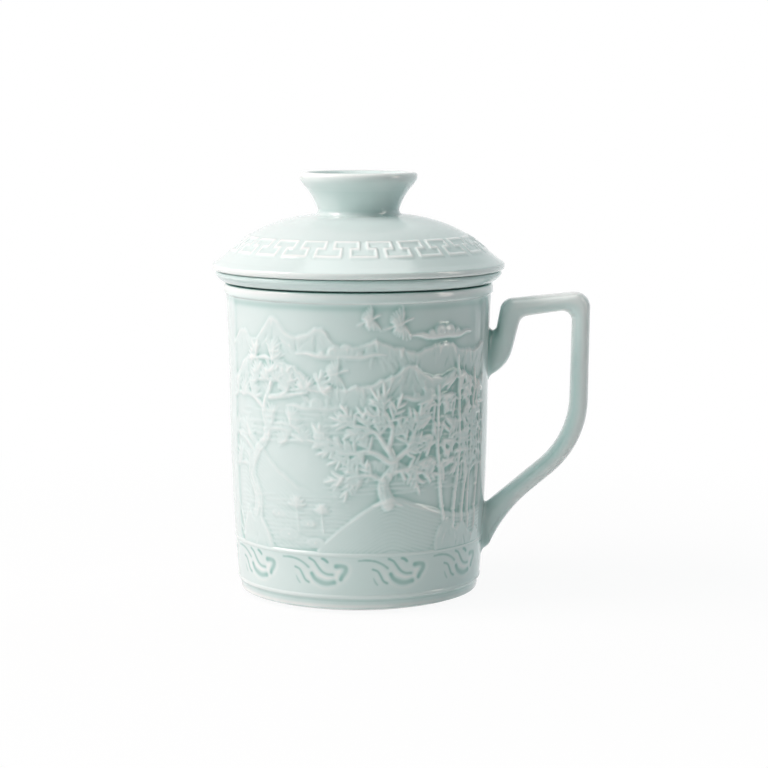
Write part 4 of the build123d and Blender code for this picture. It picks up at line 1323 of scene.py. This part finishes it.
# %% Two paths with matching corners
HANDLE_T, HANDLE_BREADTH = 6.4, 10.0
SECTION_POWER = 2.35      # 2 is an oval, more is squarer
STATION = 0.45
ROOT_FLARE = 1.8          # radius of the hollow curve at the joint with the wall
ROOT_SINK = 1.5           # how far the bar may reach into the wall
hidden_x = WALL_R - HANDLE_T
outer_path = [((hidden_x, 88.3), 0), ((46.15, 88.3), 1.8), ((48.15, 98.9), 4.5), ((77.9, 101.9), 5.2),
              ((77.15, 49.75), 33.0), ((49.1, 26.3), 50.0), ((43.9, 14.5), 3.1), ((hidden_x, 12.9), 0)]
inner_path = [((hidden_x, 69.4), 0), ((50.3, 76.4), 13.0), ((54.55, 93.0), 3.4), ((71.8, 95.5), 3.4),
              ((70.9, 52.5), 29.0), ((hidden_x, 24.6), 0)]


def rounded_path(stops):
    """A path with rounded corners: its points, and how far along it the middle of each stop lies."""
    points, marks = [stops[0][0]], [0]
    for (before, _), (at, radius), (after, _) in zip(stops, stops[1:], stops[2:]):
        bend_points = corner(before, at, after, radius, 12)
        marks.append(len(points) + 6)
        points += bend_points
    points.append(stops[-1][0])
    points = np.array(points)
    run = np.concatenate([[0], np.cumsum(np.hypot(*np.diff(points, axis=0).T))])
    return points, run, run[marks + [len(points) - 1]]


def along(path, place):
    points, run, _ = path
    return np.stack([np.interp(place, run, points[:, k]) for k in (0, 1)], 1)


outer, inner = rounded_path(outer_path), rounded_path(inner_path)
outer_marks = np.concatenate([outer[2][:5], outer[2][-1:]])
outer_stations, inner_stations = [], []
for k in range(5):
    spans = outer_marks[k + 1] - outer_marks[k], inner[2][k + 1] - inner[2][k]
    share = np.linspace(0, 1, math.ceil(max(spans) / STATION), endpoint=k == 4)
    outer_stations.append(outer_marks[k] + share * spans[0])
    inner_stations.append(inner[2][k] + share * spans[1])
outer_edge = along(outer, np.concatenate(outer_stations))
inner_edge = along(inner, np.concatenate(inner_stations))

# %% The bar between them
SECTION_POINTS = 64
turns = np.linspace(0, 2 * math.pi, SECTION_POINTS + 1)
reach = np.sign(np.cos(turns)) * np.abs(np.cos(turns)) ** (2 / SECTION_POWER)
breadth = np.sign(np.sin(turns)) * np.abs(np.sin(turns)) ** (2 / SECTION_POWER)
# the glaze is thin over the bar's two edges, and a little thin all across it, which lightens the bar as
# painted light; on the lower arm, painted shade darkens the half beside the inner edge, which faces up
# towards the wall
thin = np.interp(reach, (-1, -0.8, -0.6, -0.2, 0.2, 1), (0.24, 0.2, 0.08, 0.08, 0.2, 0.24))
lower_arm_shade = 0.18 * near(reach, -0.6, 0.3)
handle = bmesh.new()
glaze = handle.verts.layers.float.new("pool")
bmesh.ops.create_grid(handle, x_segments=SECTION_POINTS, y_segments=len(outer_edge) - 1, size=0.5)
for v in handle.verts:
    k, station = round((v.co.x + 0.5) * SECTION_POINTS), round((v.co.y + 0.5) * (len(outer_edge) - 1))
    middle = (outer_edge[station] + inner_edge[station]) / 2
    x, z = middle + (outer_edge[station] - middle) * reach[k]
    v.co = (float(x), HANDLE_BREADTH / 2 * float(breadth[k]), float(z))
    low, free = np.clip((62 - z) / 12, 0, 1), np.clip((x - 48) / 5, 0, 1)
    v[glaze] = float(free * (low * lower_arm_shade[k] - thin[k]))
bmesh.ops.remove_doubles(handle, verts=handle.verts[:], dist=1e-4)
bmesh.ops.holes_fill(handle, edges=[e for e in handle.edges if e.is_boundary], sides=0)
bmesh.ops.recalc_face_normals(handle, faces=handle.faces[:])
handle.normal_update()
moves = []
for v in handle.verts:
    level = math.hypot(v.co.x, v.co.y)
    off = level - float(wall_radius(v.co.z))
    outwards = Vector((v.co.x / level, v.co.y / level, 0))
    depth = min(max(ROOT_FLARE - off, 0.0), ROOT_FLARE)
    flare = ROOT_FLARE - math.sqrt(ROOT_FLARE ** 2 - depth ** 2)
    sideways = v.normal - outwards * v.normal.dot(outwards)
    shift = sideways.normalized() * flare if sideways.length > 0.3 else Vector()
    if off < -ROOT_SINK:
        shift = shift + outwards * (-ROOT_SINK - off)
    moves.append((v, shift))
for v, shift in moves:
    v.co += shift
bmesh.ops.recalc_face_normals(handle, faces=handle.faces[:])


def root_pool_and_shade(radius, height):
    """Glaze gathers round both roots, with painted shade that darkens them further, most round the upper
    one.
    """
    off = np.maximum(radius - wall_radius(height) - 1.0, 0)
    return (0.14 + 0.2 * near(height, 88, 9)) * np.exp(-off / 2.8)


fire("mug_handle_ear", handle, "mug", "body_glaze", "mug_handle", root_pool_and_shade)
flared = sum(shift.length > 0.05 for _, shift in moves)
print("stations:", len(outer_edge), "points flared at the roots:", flared)

# %% [markdown]
# ## Table, background and light
#
# A pale glazed thing shows its shape by soft light from one side. The main lamp stands high at the
# left, and a weaker one in front at the left carries its light round to the middle of the wall. A lamp
# above lights the lid, and one at the right, a little behind, keeps the dark side open. The lamp in
# front and the one behind only light: a reflection of them would put a second gleam on the wall. A tall
# warm card at the right does the opposite, it is only mirrored, as a thin gleam along the dark side and
# the handle. The camera and every reflection see a white room, so the glossy glaze has something bright
# to mirror. The table is pale as well, and it keeps the mug's shadow.

# %% A white room for the camera and the reflections
def seen_directly(tree):
    """1 for rays from the camera and for mirrored and transmitted ones, otherwise 0."""
    path = add_node(tree, "LightPath")
    total = path.outputs["Is Camera Ray"]
    for output in ("Is Glossy Ray", "Is Transmission Ray"):
        total = add_node(tree, "Math", links={0: total, 1: path.outputs[output]},
                         operation="MAXIMUM").outputs[0]
    return total


ROOM_LIGHT = 0.01
world = bpy.data.worlds.new("room")
bpy.context.scene.world = world
world.use_nodes = True
sky = world.node_tree.nodes["Background"]
sky.inputs["Color"].default_value = (1, 1, 1, 1)
level = add_node(world.node_tree, "MapRange", {"To Min": ROOM_LIGHT, "To Max": 1.0},
                 {"Value": seen_directly(world.node_tree)})
world.node_tree.links.new(level.outputs["Result"], sky.inputs["Strength"])

# %% The table
TABLE_SIZE = 6000.0
TABLE_GLOW, GLOW_NEAR, GLOW_FAR = 0.93, 70, 330     # 0.93 within 70 mm, rising to 1 at 330 mm
table_material, tree, shader = new_material("pale_table")
for socket, value in (("Base Color", (0.86, 0.87, 0.87, 1)), ("Roughness", 0.9),
                      ("Specular IOR Level", 0.0)):
    shader.inputs[socket].default_value = value
glow = add_node(tree, "Emission", {"Color": (1, 1, 1, 1)})
away = add_node(tree, "VectorMath", links={0: add_node(tree, "TexCoord").outputs["Object"]},
                operation="LENGTH")
fade = add_node(tree, "MapRange", {"From Min": GLOW_NEAR * MM, "From Max": GLOW_FAR * MM,
                                   "To Min": TABLE_GLOW, "To Max": 1.0},
                {"Value": away.outputs["Value"]}, interpolation_type="SMOOTHSTEP")
share = add_node(tree, "Math", links={0: seen_directly(tree), 1: fade.outputs["Result"]},
                 operation="MULTIPLY")
mix = add_node(tree, "MixShader", links={0: share.outputs[0], 1: shader.outputs[0], 2: glow.outputs[0]})
tree.links.new(mix.outputs[0], tree.nodes["Material Output"].inputs["Surface"])
table_material.cycles.emission_sampling = "NONE"
table = bmesh.new()
bmesh.ops.create_circle(table, cap_ends=True, segments=64, radius=TABLE_SIZE * MM)
table_mesh = bpy.data.meshes.new("table")
table.to_mesh(table_mesh)
table.free()
table_mesh.materials.append(table_material)
table_top = bpy.data.objects.new("table", table_mesh)
bpy.context.scene.collection.objects.link(table_top)
print("table:", TABLE_SIZE, "mm in radius, glow", TABLE_GLOW, "near the mug")


# %% Four soft lamps and a card
LAMP_REACH = 1250.0       # from the mug to each lamp
HEART = Vector((0, 0, 70)) * MM


def soft_lamp(name, turn, rise, wide, tall, power, colour, mirrored=True, lights=True):
    """A flat lamp that faces the mug; turn is degrees from the front towards the left."""
    turn, rise = math.radians(turn), math.radians(rise)
    data = bpy.data.lights.new(name, "AREA")
    data.shape = "RECTANGLE"
    data.size, data.size_y = wide * MM, tall * MM
    data.energy = power
    data.color = colour
    lamp = bpy.data.objects.new(name, data)
    lamp.visible_glossy, lamp.visible_diffuse = mirrored, lights
    towards = Vector((-math.sin(turn) * math.cos(rise), -math.cos(turn) * math.cos(rise), math.sin(rise)))
    lamp.location = HEART + towards * LAMP_REACH * MM
    lamp.rotation_euler = towards.to_track_quat("Z", "Y").to_euler()
    bpy.context.scene.collection.objects.link(lamp)


soft_lamp("left_high", 80, 40, 700, 700, 14.4, (1, 0.82, 0.825))
soft_lamp("front_left", 35, 25, 800, 800, 4.4, (0.75, 1, 0.96), mirrored=False)
soft_lamp("above", 0, 88, 900, 900, 5.6, (0.97, 1, 0.98))
soft_lamp("right_behind", -125, 12, 800, 1000, 7.4, (0.78, 0.96, 1), mirrored=False)
soft_lamp("warm_right", -78, 18, 300, 1300, 6.5, (1, 0.86, 0.8), lights=False)
bpy.context.scene.view_settings.view_transform = "Standard"
print("lamps:", sorted(lamp.name for lamp in bpy.data.lights))
